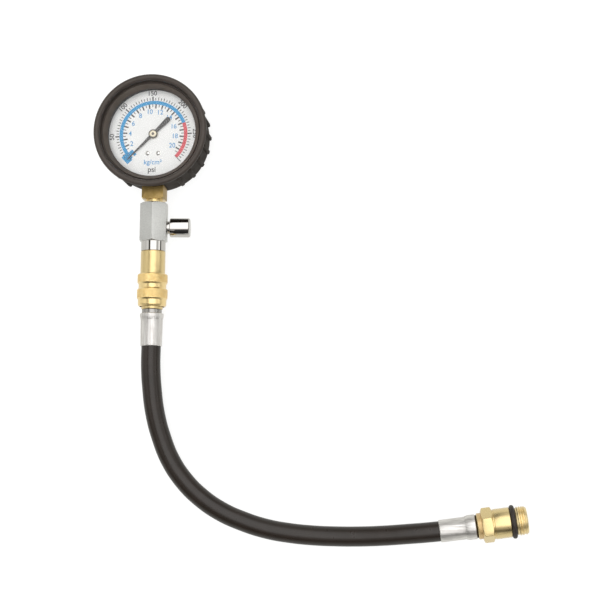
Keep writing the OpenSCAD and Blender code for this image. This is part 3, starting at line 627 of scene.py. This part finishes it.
# %% Dial screws
DIAL_TOP = 21
SCREW_X, SCREW_Y = 3.45, -12.5
HEAD_R, SHANK_R, SHANK_L = 1.6, 0.85, 8.8
SLOT_SIZE, SLOT_AT = (4, 0.4, 0.7), 0.75


def copied(obj, place):
    """A copy with a mesh of its own, moved to its place."""
    made = bpy.data.objects.new(obj.name, obj.data.copy())
    scene.collection.objects.link(made)
    made.data.transform(place)
    return made


screw_dome = arc((0, -1.15), 1.85, 90, 40, 6)
screw_shank = [(HEAD_R, 0), (SHANK_R, 0), (SHANK_R, -SHANK_L), (0, -SHANK_L)]
screw = turned("dial_screw", screw_dome + screw_shank, steps=48)
bpy.ops.mesh.primitive_cube_add(size=MM, location=(0, 0, SLOT_AT * MM))
slot_tool = bpy.context.object
slot_tool.scale = SLOT_SIZE
bpy.ops.object.transform_apply()
carve(screw, slot_tool)
finished(screw)
screws = [copied(screw, at_mm(side * SCREW_X, SCREW_Y, DIAL_TOP)) for side in (-1, 1)]
bpy.data.objects.remove(screw)
stands_for(joined("dial_screws_finished", screws), "dial_screws")
print("dial screws:", len(screws))

# %% [markdown]
# ## Scale lines
# The outer scale reads pounds per square inch up to 300, and the inner one kilograms per square
# centimetre, so both run over the same three quarters of a turn. The print could be a picture, but
# a picture blurs when it is seen close up. So each ink is one thin solid that lies on the dial. A
# line is a bar, modelled once for each length and copied to its angles.

# %% Scale lines
INK_LOW, INK_T = 21.005, 0.04
PSI_START, PSI_STEP, PSI_END = 228.8, 0.912, 300
KG_STEP = 12.97


def psi_turn(psi):
    """The angle of a pressure on the outer scale, in degrees."""
    return PSI_START - PSI_STEP * psi


def kg_turn(kg):
    """The angle of a pressure on the inner scale, in degrees."""
    return PSI_START - KG_STEP * kg


def bars(r0, r1, width, turns, side=0):
    """Printed bars from one radius to another, at some angles."""
    bpy.ops.mesh.primitive_cube_add(size=MM)
    first = bpy.context.object
    first.matrix_world = (at_mm((r0 + r1) / 2, side, INK_LOW + INK_T / 2)
                          @ Matrix.Diagonal((r1 - r0, width, INK_T, 1)))
    bpy.ops.object.transform_apply()
    made = [copied(first, Matrix.Rotation(math.radians(turn), 4, "Z")) for turn in turns]
    bpy.data.objects.remove(first)
    return made


psi_lines = range(10, PSI_END, 5)
half_kg_lines = range(3, 42)
dark = bars(22.3, 25.1, 0.9, [psi_turn(p) for p in psi_lines if p % 50 == 0])
dark += bars(22.7, 24.7, 0.5, [psi_turn(p) for p in psi_lines if p % 10 == 0 and p % 50])
dark += bars(22.7, 24.3, 0.5, [psi_turn(p) for p in psi_lines if p % 10])
dark += bars(20, 25.6, 0.5, [psi_turn(PSI_END)])
dark += bars(17.2, 20, 0.95, [kg_turn(h / 2) for h in half_kg_lines if h % 2 == 0])
dark += bars(18.2, 20, 0.5, [kg_turn(h / 2) for h in half_kg_lines if h % 2])
print("scale lines:", len(dark))

# %% [markdown]
# ## Numbers and units
# The outer numbers stand along the scale, and the inner ones stand upright. Text becomes a mesh
# before it is placed, and it is a little fuller than the font, as printing leaves it.

# %% Numbers and units
TEXT_T, TEXT_FULLER = 0.02, 0.015
PSI_NUMBERS_R, KG_NUMBERS_R, KG_HIGH_NUMBERS_R = 27.4, 15.3, 14.5


def printed_text(words, at, height=None, width=None, squeeze=1, turn=0):
    """Printed words with a given height or width, about a middle point in millimetres."""
    bpy.ops.object.text_add()
    made = bpy.context.object
    made.data.body = words
    made.data.extrude = TEXT_T / 2
    made.data.offset = TEXT_FULLER
    bpy.ops.object.convert(target="MESH")
    made = bpy.context.object
    corners = [v.co for v in made.data.vertices]
    low = Vector([min(c[i] for c in corners) for i in range(3)])
    high = Vector([max(c[i] for c in corners) for i in range(3)])
    scale = height / (high.y - low.y) if height else width / (high.x - low.x)
    made.matrix_world = (
        at_mm(at[0], at[1], INK_LOW + INK_T / 2) @ Matrix.Rotation(math.radians(turn), 4, "Z")
        @ Matrix.Diagonal((scale * squeeze * MM, scale * MM, INK_T / TEXT_T * MM, 1))
        @ Matrix.Translation(-(low + high) / 2))
    bpy.ops.object.transform_apply()
    return made


def polar(r, turn):
    """A point on the dial at a radius and an angle in degrees."""
    return r * math.cos(math.radians(turn)), r * math.sin(math.radians(turn))


for psi in range(50, PSI_END, 50):
    turn = psi_turn(psi)
    dark.append(printed_text(str(psi), polar(PSI_NUMBERS_R, turn), height=3.1, turn=turn - 90))
dark.append(printed_text("psi", (-0.6, -23.8), width=5))
pale_blue = [printed_text("kg/cm²", (0, -18.8), width=11.7)]
for kg in range(2, 21, 2):
    number_r = KG_NUMBERS_R if kg < 15 else KG_HIGH_NUMBERS_R
    pale_blue.append(printed_text(str(kg), polar(number_r, kg_turn(kg)), height=3.2, squeeze=0.95))
print("numbers and units in pale blue:", len(pale_blue))

# %% [markdown]
# ## Coloured band
# A band between the two scales is blue up to the red part, and a blue block marks the needle's rest.
# An arc is a small rectangle that is spun through part of a turn, with both of its ends filled.

# %% Coloured band
BAND_IN, BAND_OUT = 20, 22.35
RED_FROM = 228
REST_TURN = 223


def printed_arc(name, turn, sweep):
    """A printed arc of the band, clockwise from one angle through a sweep."""
    high = INK_LOW + INK_T
    made = turned(name, [(BAND_IN, INK_LOW), (BAND_OUT, INK_LOW), (BAND_OUT, high), (BAND_IN, high),
                         (BAND_IN, INK_LOW)], steps=int(sweep / 2), sweep=sweep)
    made.matrix_world = Matrix.Rotation(math.radians(turn), 4, "Z")
    edit(made)
    bpy.ops.mesh.fill_holes(sides=4)
    leave()
    bpy.ops.object.transform_apply()
    return made


blue_sweep = PSI_STEP * RED_FROM
red_sweep = PSI_STEP * PSI_END - blue_sweep
blue = [printed_arc("blue_arc", PSI_START, blue_sweep)]
blue += bars(21.2, 25.5, 6, [REST_TURN]) + bars(16.8, 18.7, 4.4, [REST_TURN])
blue += bars(18.6, 21.3, 2.4, [REST_TURN], side=-1)
red = [printed_arc("red_arc", PSI_START - blue_sweep, red_sweep)]
inks = {}
for ink, items in (("dark", dark), ("pale_blue", pale_blue), ("blue", blue), ("red", red)):
    inks[ink] = finished(joined("dial_print_" + ink, items), angle=20)
    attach(inks[ink], "base")
print("dial print:", ", ".join(inks))

# %% [markdown]
# ## Colours and shader nodes
# Colours are picked as sRGB hex values, as on a screen, and shaders want linear light, so one
# function turns them. One more function adds a node with its settings, its links and, for a colour
# ramp, its stops.

# %% Colours and shader nodes
def linear(hex_colour):
    """The linear colour of an sRGB hex value."""
    parts = [int(hex_colour[i:i + 2], 16) / 255 for i in (1, 3, 5)]
    return [p / 12.92 if p <= 0.04045 else ((p + 0.055) / 1.055) ** 2.4 for p in parts] + [1.0]


def add(tree, kind, inputs, stops=(), **settings):
    """Adds one node. An input is a value, or another node's output to link."""
    made = tree.nodes.new(kind)
    for name, value in settings.items():
        setattr(made, name, value)
    for name, value in inputs.items():
        if isinstance(value, bpy.types.NodeSocket):
            tree.links.new(value, made.inputs[name])
        else:
            made.inputs[name].default_value = value
    for _ in stops[2:]:
        made.color_ramp.elements.new(0.5)
    for i, (position, colour) in enumerate(stops):
        made.color_ramp.elements[i].position = position
        made.color_ramp.elements[i].color = linear(colour)
    return made


print("white is", linear("#ffffff"))

# %% [markdown]
# ## Patterns
# Every finish is built from patterns in the object's own millimetres, so a grain keeps its true
# size wherever the piece stands. A noise gives cloudy wear and moulded grain, and a noise that is
# stretched along one axis gives turning lines and scratches. A grain that is finer than a pixel is
# drawn as coarse as it needs to be to show. Most of a noise lies between 0.3 and 0.7.

# %% Patterns
NOISE_LOW, NOISE_HIGH = 0.3, 0.7


def grain(tree, sizes_mm, detail=3.0):
    """Noise with a grain of a given size along X, Y and Z."""
    place = add(tree, "ShaderNodeTexCoord", {}).outputs["Object"]
    scaled = add(tree, "ShaderNodeMapping", {
        "Vector": place, "Scale": [1 / (size * MM) for size in sizes_mm]})
    noise = add(tree, "ShaderNodeTexNoise", {
        "Vector": scaled.outputs[0], "Scale": 1.0, "Detail": detail})
    return noise.outputs["Fac"]


def feed(tree, pattern, name):
    """Links a pattern's output to an input of the material's shader."""
    tree.links.new(pattern, tree.nodes["Principled BSDF"].inputs[name])


def mottle(tree, sizes_mm, deep, pale):
    """Lets the colour wander between two shades over a grain."""
    shade = add(tree, "ShaderNodeValToRGB", {"Fac": grain(tree, sizes_mm)},
                stops=[(NOISE_LOW, deep), (NOISE_HIGH, pale)])
    feed(tree, shade.outputs["Color"], "Base Color")


def wander(tree, sizes_mm, low, high):
    """Lets the roughness wander between two values over a grain."""
    spread = add(tree, "ShaderNodeMapRange", {
        "Value": grain(tree, sizes_mm), "From Min": NOISE_LOW, "From Max": NOISE_HIGH,
        "To Min": low, "To Max": high})
    feed(tree, spread.outputs["Result"], "Roughness")


def relief(tree, sizes_mm, depth_mm):
    """A bump with a grain and a depth in millimetres."""
    bump = add(tree, "ShaderNodeBump", {
        "Height": grain(tree, sizes_mm, detail=2.0), "Distance": depth_mm * MM, "Strength": 1.0})
    feed(tree, bump.outputs["Normal"], "Normal")


print("patterns: colour, roughness and relief")

# %% [markdown]
# ## One finish
# A finish starts with one colour, one roughness and how metallic it is. Its roughness wanders by a
# tenth over patches a few millimetres wide, because handled surfaces are never evenly dull. It may
# also wander between two shades and have a relief.

# %% One finish
HANDLED_MM = (4, 4, 4)
finishes = {}


def even(size_mm):
    """A grain that is as large along all three axes."""
    return (size_mm, size_mm, size_mm)


def shine(level):
    """How strongly a finish that isn't metal mirrors, where 0.5 is usual."""
    return {"Specular IOR Level": level}


def finish(name, colour, roughness, metallic=0.0, shades=None, bump=None, **inputs):
    """A new material. Shades are a grain and two colours, and a bump is a grain and a depth."""
    made = bpy.data.materials.new(name)
    made.use_nodes = True
    tree = made.node_tree
    values = {"Base Color": linear(colour), "Metallic": metallic, **inputs}
    for key, value in values.items():
        tree.nodes["Principled BSDF"].inputs[key].default_value = value
    wander(tree, HANDLED_MM, roughness * 0.9, roughness * 1.1)
    if shades:
        mottle(tree, *shades)
    if bump:
        relief(tree, *bump)
    return made


print("one finish: roughness patches of", HANDLED_MM[0], "mm")

# %% [markdown]
# ## Rubber
# The boot is a warm black with a fine moulded grain, and its ribbed wall is rougher. Its cone is
# painted paler, as painted light for the light that falls on it.
# The hose is smoother, because it is extruded, and the seals are nearly black.

# %% Rubber
RUBBER_CLOUDS, RUBBER_GRAIN, FINE_GRAIN = even(6), even(0.35), even(0.3)
# Moulded rubber of the boot, a warm black that shines softly on the bead
finishes["boot_rubber"] = finish(
    "moulded_rubber", "#453e39", 0.42, shades=(RUBBER_CLOUDS, "#423b36", "#48413c"),
    bump=(RUBBER_GRAIN, 0.012), **shine(0.28))
# The boot's ribbed wall, left rough by a blasted mould, so it hardly shines
wall_rubber = finish(
    "blasted_rubber", "#49423c", 0.62, shades=(RUBBER_CLOUDS, "#463f39", "#4c453f"),
    bump=(RUBBER_GRAIN, 0.02), **shine(0.1))
# The boot's cone, the same rubber painted paler: painted light for the light from above and from the
# white dial
painted_light_cone_rubber = finish(
    "cone_rubber_painted_light", "#5e564f", 0.5, shades=(RUBBER_CLOUDS, "#59514a", "#625a53"),
    bump=(RUBBER_GRAIN, 0.012), **shine(0.12))
# Extruded rubber of the hose, smooth enough for a long soft highlight
finishes["hose_rubber"] = finish(
    "extruded_rubber", "#27201b", 0.3, shades=(even(9), "#241e19", "#2a221d"),
    bump=(FINE_GRAIN, 0.006), **shine(0.44))
# Nitrile rubber of the seals, nearly black and dull
finishes["seal_rubber"] = finish("seal_rubber", "#2e2722", 0.5, bump=(FINE_GRAIN, 0.006))
print("rubber:", ", ".join(finishes))

# %% [markdown]
# ## Paint and window
# The case and its bezel are black on pressed steel, and the dial is white. The window is clear and
# shows only a faint shine, so it is almost wholly transparent.

# %% Paint and window
PAINT_GRAIN = even(0.6)
# Black paint on pressed steel, dull with a slight orange peel
finishes["case_steel"] = finish("painted_steel", "#262524", 0.45, bump=(PAINT_GRAIN, 0.006))
# Black enamel of the bezel, glossier and flatter than the paint
finishes["bezel_black"] = finish("black_enamel", "#1c1b1a", 0.3, bump=(PAINT_GRAIN, 0.004))
# Clear acrylic window, polished
finishes["lens_clear"] = finish("clear_acrylic", "#ffffff", 0.04, Alpha=0.05)
# White dial paint, sprayed and chalky
finishes["dial_white"] = finish(
    "dial_paint", "#dededc", 0.6, shades=(even(8), "#dcdcda", "#e0e0de"), bump=(FINE_GRAIN, 0.002))
# Matte black paint of the pointer, which takes the light without a shine
finishes["pointer_black"] = finish(
    "pointer_paint", "#2f2c2a", 0.6, bump=(FINE_GRAIN, 0.003), **shine(0.2))
# Printing inks, flat and a little chalky
ink_paints = {"dark": "#2c2c30", "pale_blue": "#4a8cbd", "blue": "#1289bd", "red": "#c63f49"}
for ink, colour in ink_paints.items():
    inks[ink].data.materials.clear()
    inks[ink].data.materials.append(finish("ink_" + ink, colour, 0.55, **shine(0.2)))
print("rubber, paint and window:", len(finishes), "and inks:", len(ink_paints))

# %% [markdown]
# ## Brass of the stem and the coupler
# Turned brass carries fine rings about its axis, so its noise is squeezed along that axis. The stem
# is dull, and clear lacquer keeps the coupler bright. A knurl has so many small flanks that it
# scatters light like a paint, so it is a little less metallic.

# %% Brass of the stem and the coupler
LACQUER = {"Coat Weight": 0.8, "Coat Roughness": 0.3}
STEM_RINGS = (40, 0.25, 40)
# Dull machined brass of the gauge's stem, brown in patches
finishes["stem_brass"] = finish(
    "dull_brass", "#a88e58", 0.42, 1.0, shades=(even(3), "#9c834e", "#b39863"))
# Satin turned brass of the coupler's body, with soft bands of light
finishes["coupler_brass"] = finish(
    "satin_brass", "#ead195", 0.36, 1.0, bump=(STEM_RINGS, 0.004), **LACQUER)
# Turned brass of the sleeve, a deeper gold with sharper bands
finishes["sleeve_brass"] = finish(
    "turned_brass", "#ffe2a0", 0.32, 1.0, bump=(STEM_RINGS, 0.004), **LACQUER)
# Knurled brass of the sleeve's grips, an even gold that glitters a little
knurl_brass = finish(
    "knurled_brass", "#ffdc92", 0.42, 0.75, shades=(even(2), "#fdd78a", "#ffe19a"), **LACQUER)
print("finishes with the coupler's brass:", len(finishes))

# %% [markdown]
# ## Brass of the fitting and the movement
# The fitting is a paler yellow than the coupler and lies across it, so its rings run the other way.
# Its thread scatters light as the knurl does. The movement's plates are stamped from sheet.

# %% Brass of the fitting and the movement
FITTING_RINGS = (0.25, 40, 40)
# Yellow brass of the spark plug fitting, turned bright
finishes["fitting_brass"] = finish(
    "yellow_brass", "#e6cf95", 0.28, 1.0, bump=(FITTING_RINGS, 0.002), **LACQUER)
# Threaded brass of the fitting's end, whose flanks scatter the light
thread_brass = finish(
    "threaded_brass", "#f6dfa6", 0.36, 0.88, shades=(even(2), "#f1d99c", "#fbe5b0"), **LACQUER)
# Rough turned brass of the fitting's collar, an even tan
collar_brass = finish(
    "rough_turned_brass", "#e6c68c", 0.5, 0.8, shades=(even(2), "#e0bf84", "#eccd94"), **LACQUER)
# Brass in the narrow gap beside the ferrule, painted nearly black: painted shade for the shadow in the
# gap
painted_shade_gap_brass = finish("gap_brass_painted_shade", "#4a3920", 0.6, 1.0)
# Stamped brass of the movement, with a faint rolled grain
finishes["movement_brass"] = finish(
    "stamped_brass", "#e3c58c", 0.35, 1.0, shades=(even(1.5), "#dcbd82", "#e9cd97"),
    bump=(even(0.5), 0.004))
# Pale lacquered brass of the pointer's bush
bush_brass = finish("pale_brass", "#efe4c8", 0.4, 1.0)
print("finishes with all brass:", len(finishes))

# %% [markdown]
# ## Chrome, aluminium and steel
# The hexagonal block is blasted before it is plated, so it is an even silver grey. The button and
# the neck are polished and mirror the studio. The ferrules are drawn tubes, streaked lengthwise.

# %% Chrome, aluminium and steel
# Chrome plate on the blasted hexagon, an even silver grey with a fine sparkle
finishes["satin_chrome"] = finish(
    "satin_chrome", "#dededb", 0.5, 1.0, shades=(even(0.8), "#d8d8d5", "#e4e4e1"))
# Polished chrome plate of the button and the neck, with black and white bands
finishes["bright_chrome"] = finish("polished_chrome", "#cbc8c4", 0.06, 1.0)
# Crimped aluminium of the upper ferrule, streaked along the stem
finishes["ferrule_zinc"] = finish(
    "crimped_aluminium", "#e6e3e0", 0.48, 1.0, shades=((0.8, 24, 0.8), "#d4d0cc", "#fbf9f6"),
    bump=((0.4, 14, 0.4), 0.006))
# The same of the lower ferrule, streaked across, with more contrast
drawn_across = finish(
    "crimped_aluminium_across", "#e6e3e0", 0.44, 1.0,
    shades=((24, 0.8, 0.8), "#cbc7c3", "#f7f5f1"), bump=((14, 0.4, 0.4), 0.006))
# Turned steel of springs and shafts, bright and slightly grained
finishes["steel"] = finish("turned_steel", "#c8c6c2", 0.3, 1.0, bump=(FINE_GRAIN, 0.002))
# Hardened steel of the plug, darker, with turning rings
finishes["plug_steel"] = finish("plug_steel", "#a9a6a2", 0.28, 1.0, bump=((40, 0.2, 40), 0.003))
# Dark steel of the pinion shaft's end, and polished steel of the dial's screws
shaft_steel = finish("dark_steel", "#6e675e", 0.4, 1.0)
screw_steel = finish("polished_steel", "#f0eeea", 0.14, 1.0)
print("finishes:", len(finishes))

# %% [markdown]
# ## Finishes on the pieces
# Every solid and every piece gets the finish of its material slot. Four pieces then get a finish of
# their own, because the real ones are made or worn differently.

# %% Finishes on the pieces
for node, piece in list(nodes.items()) + list(pieces.items()):
    piece.data.materials.clear()
    piece.data.materials.append(finishes[slot_of[node]])
hose.data.materials.append(finishes["hose_rubber"])
pieces["lower_ferrule"].data.materials[0] = drawn_across
pieces["pointer_bush"].data.materials[0] = bush_brass
nodes["pinion_shaft"].data.materials[0] = shaft_steel
pieces["dial_screws"].data.materials[0] = screw_steel
print("painted", len(nodes), "solids and", len(pieces), "pieces")

# %% [markdown]
# ## Finding faces for a second finish
# Some pieces show two or three finishes, such as the sleeve with its knurl. They could be split into
# several meshes, but a piece that is made in one stays one, and its faces are told apart by place.

# %% Finding faces for a second finish
CONE_IN, CONE_OUT, CONE_LOW, CONE_HIGH = 28.7, 31.1, 27, 29.8
WALL_R, WALL_TOP = 33.9, 30


def between(low, high):
    """A test for faces that lie wholly between two distances along the fitting."""
    def test(points):
        reach = [(p - FITTING_AT).dot(FITTING_DIR) for p in points]
        return min(reach) > low and max(reach) < high
    return test


def below(y):
    """A test for faces that lie further down the stem than a place."""
    return lambda points: middle(points).y < y


def on_cone(points):
    """True on the boot's cone."""
    at = middle(points)
    return CONE_IN < at.xy.length < CONE_OUT and CONE_LOW < at.z < CONE_HIGH


def on_wall(points):
    """True on the boot's wall and ribs."""
    at = middle(points)
    return at.xy.length > WALL_R and at.z < WALL_TOP


def on_knurl(points):
    """True on the knurl of the sleeve, where it stands on the stem."""
    at = middle(points)
    return on_grip([Vector((at.x, at.z - STEM_Z, -at.y - SLEEVE_DROP))], slack=NEAR)


print("tests: along the fitting, down the stem, on the boot and on the sleeve")

# %% [markdown]
# ## Second finishes
# The selected faces get a material slot of their own, as one would do by hand in edit mode.

# %% Second finishes
COLLAR_TO = 26.5
CHROME_BELOW, BARE_NECK_BELOW = -69.5, -41.5


def repaint(node, paint, test):
    """Gives a second finish to the faces of a piece whose points pass a test."""
    piece = pieces[node]
    piece.data.materials.append(paint)
    pick(piece, "FACE", test)
    piece.active_material_index = len(piece.data.materials) - 1
    bpy.ops.object.material_slot_assign()
    leave()


# Painted shade: the gap's faces get nearly black brass for the shadow that falls there
repaint("end_fitting", painted_shade_gap_brass, between(GAP_FROM - NEAR, GAP_TO + NEAR))
repaint("end_fitting", collar_brass, between(GAP_TO + NEAR, COLLAR_TO))
repaint("end_fitting", thread_brass, between(GROOVE_TO - NEAR, FITTING_END + NEAR))
repaint("manifold_block", finishes["bright_chrome"], below(CHROME_BELOW))
repaint("stem_socket", finishes["coupler_brass"], below(BARE_NECK_BELOW))
# Painted light: the cone's faces get a paler copy of the boot's rubber
repaint("rubber_boot", painted_light_cone_rubber, on_cone)
repaint("rubber_boot", wall_rubber, on_wall)
repaint("coupler_sleeve", knurl_brass, on_knurl)
print("second finishes on", sum(len(p.data.materials) > 1 for p in pieces.values()), "pieces")

# %% [markdown]
# ## What the metal mirrors
# Metal only looks like metal when it has something to mirror. In a studio a wide white panel hangs
# overhead with dark gaps beside it, which gives chrome its black and white bands. A room could be
# modelled, but a world that is painted by direction is lighter. One ramp runs across the picture
# and one along it, each over the lean of the direction in degrees.

# %% What the metal mirrors
ACROSS = [
    (-90, "#c0c0be"), (-66, "#b0b0ae"), (-50, "#c2c2c0"), (-36, "#c8c8c6"), (-31, "#34322f"),
    (-20, "#34322f"), (-14, "#ffffff"), (37, "#ffffff"), (42, "#9c9c9a"), (58, "#b0b0ae"),
    (63, "#e6e6e4"), (75, "#e6e6e4"), (78, "#343230"), (85, "#343230"), (88, "#acacaa")]
ALONG = [
    (-90, "#c0c0be"), (-74, "#c0c0be"), (-67, "#262422"), (-50, "#262422"), (-44, "#848280"),
    (-25, "#918f8d"), (-19, "#ffffff"), (50, "#ffffff"), (58, "#aeaeac"), (90, "#aeaeac")]
scene.world = bpy.data.worlds.new("studio")
scene.world.use_nodes = True
sky = scene.world.node_tree
sky.nodes.clear()
direction = add(sky, "ShaderNodeTexCoord", {}).outputs["Generated"]
axes = add(sky, "ShaderNodeSeparateXYZ", {"Vector": direction}).outputs


def by_lean(axis, stops):
    """A ramp over the lean of a direction from straight up, with its stops in degrees."""
    lean = add(sky, "ShaderNodeMath", {0: axes[axis], 1: axes["Z"]}, operation="ARCTAN2")
    share = add(sky, "ShaderNodeMapRange", {
        "Value": lean.outputs[0], "From Min": -math.pi / 2, "From Max": math.pi / 2})
    shade = add(sky, "ShaderNodeValToRGB", {"Fac": share.outputs["Result"]},
                stops=[((degrees + 90) / 180, colour) for degrees, colour in stops])
    return shade.outputs["Color"]


above = add(sky, "ShaderNodeMix", {
    "Factor": 1.0, "A": by_lean("X", ACROSS), "B": by_lean("Y", ALONG)},
    data_type="RGBA", blend_type="MULTIPLY")
print("mirrored world:", len(ACROSS), "stops across and", len(ALONG), "along")

# %% [markdown]
# ## Soft light on matte surfaces
# Below the horizon metal mirrors a grey table. Rubber, paint and ink hardly mirror anything and
# only need light from above, so the world gives them a soft white ceiling in place of the bands.
# The picture itself sees plain white.

# %% Soft light on matte surfaces
HORIZON, TABLE_GREY, MIRROR_STRENGTH = 0.04, "#b8b8b5", 1.8
CEILING_FROM, CEILING_FULL, CEILING_STRENGTH = 0.3, 0.9, 1.48
height = add(sky, "ShaderNodeMapRange", {
    "Value": axes["Z"], "From Min": -HORIZON, "From Max": HORIZON}, interpolation_type="SMOOTHSTEP")
studio = add(sky, "ShaderNodeMix", {
    "Factor": height.outputs["Result"], "A": linear(TABLE_GREY), "B": above.outputs["Result"]},
    data_type="RGBA")
mirrored = add(sky, "ShaderNodeBackground", {
    "Color": studio.outputs["Result"], "Strength": MIRROR_STRENGTH})
ceiling = add(sky, "ShaderNodeMapRange", {
    "Value": axes["Z"], "From Min": CEILING_FROM, "From Max": CEILING_FULL,
    "To Min": 0.0, "To Max": CEILING_STRENGTH})
soft = add(sky, "ShaderNodeBackground", {
    "Color": linear("#ffffff"), "Strength": ceiling.outputs["Result"]})
plain = add(sky, "ShaderNodeBackground", {"Color": linear("#ffffff"), "Strength": 1.0})
seen = add(sky, "ShaderNodeLightPath", {})
lit = add(sky, "ShaderNodeMixShader", {
    0: seen.outputs["Is Diffuse Ray"], 1: mirrored.outputs[0], 2: soft.outputs[0]})
shown = add(sky, "ShaderNodeMixShader", {
    0: seen.outputs["Is Camera Ray"], 1: lit.outputs[0], 2: plain.outputs[0]})
add(sky, "ShaderNodeOutputWorld", {"Surface": shown.outputs[0]})
print("world:", len(sky.nodes), "nodes")

# %% [markdown]
# ## Lamps
# Two large lamps overhead give the faint shadows their direction. Mirrors can't see them, because
# the painted panel is already there.

# %% Lamps
LAMPS_AIM = Vector((0.08, -0.12, 0))


def soft_lamp(name, at, size, watts):
    """A square lamp that points at the middle of the object."""
    aim = (LAMPS_AIM - Vector(at)).to_track_quat("-Z", "Y").to_euler()
    bpy.ops.object.light_add(type="AREA", location=at, rotation=aim)
    lamp = bpy.context.object
    lamp.name = name
    lamp.data.size = size
    lamp.data.energy = watts
    lamp.visible_glossy = False
    print(name, "gives", watts, "watts")


soft_lamp("top_lamp", (-0.2, 0.15, 1.5), 0.9, 5)
soft_lamp("fill_lamp", (0.0, -0.3, 1.5), 0.8, 3)

# %% [markdown]
# ## Flag and floor
# A photographer holds a small black cloth, a flag, beside polished metal to give it a dark edge.
# Only mirrors see this one, and it stands below the button. The floor is a plain pale sheet that
# glows a little, as a light table does.

# %% Flag and floor
FLAG_AT, FLAG_SIZE = (0.022, -0.088, 0.04), (0.026, 0.042, 1)
FLOOR_SIZE, FLOOR_GLOW = 6, 0.86
UNDER_THE_OBJECT = (0, 0, -0.0002)


def dress(obj, name, inputs):
    """Gives a studio piece a material of its own."""
    made = bpy.data.materials.new(name)
    made.use_nodes = True
    for key, value in inputs.items():
        made.node_tree.nodes["Principled BSDF"].inputs[key].default_value = value
    obj.data.materials.append(made)


bpy.ops.mesh.primitive_plane_add(size=1, location=FLAG_AT, rotation=(math.pi / 2, 0, 0))
flag = bpy.context.object
flag.name = "black_flag"
flag.scale = FLAG_SIZE
flag.visible_camera = flag.visible_diffuse = flag.visible_shadow = False
dress(flag, "black_cloth", {"Base Color": linear("#100f0e")})
bpy.ops.mesh.primitive_plane_add(size=FLOOR_SIZE, location=UNDER_THE_OBJECT)
floor = bpy.context.object
floor.name = "floor"
floor.visible_glossy = floor.visible_diffuse = False
dress(floor, "pale_table", {
    "Base Color": linear("#7c7c7a"), "Roughness": 0.9, "Emission Color": linear("#ffffff"),
    "Emission Strength": FLOOR_GLOW})
scene.view_settings.view_transform = "Standard"
print("studio:", flag.name, "and", floor.name)
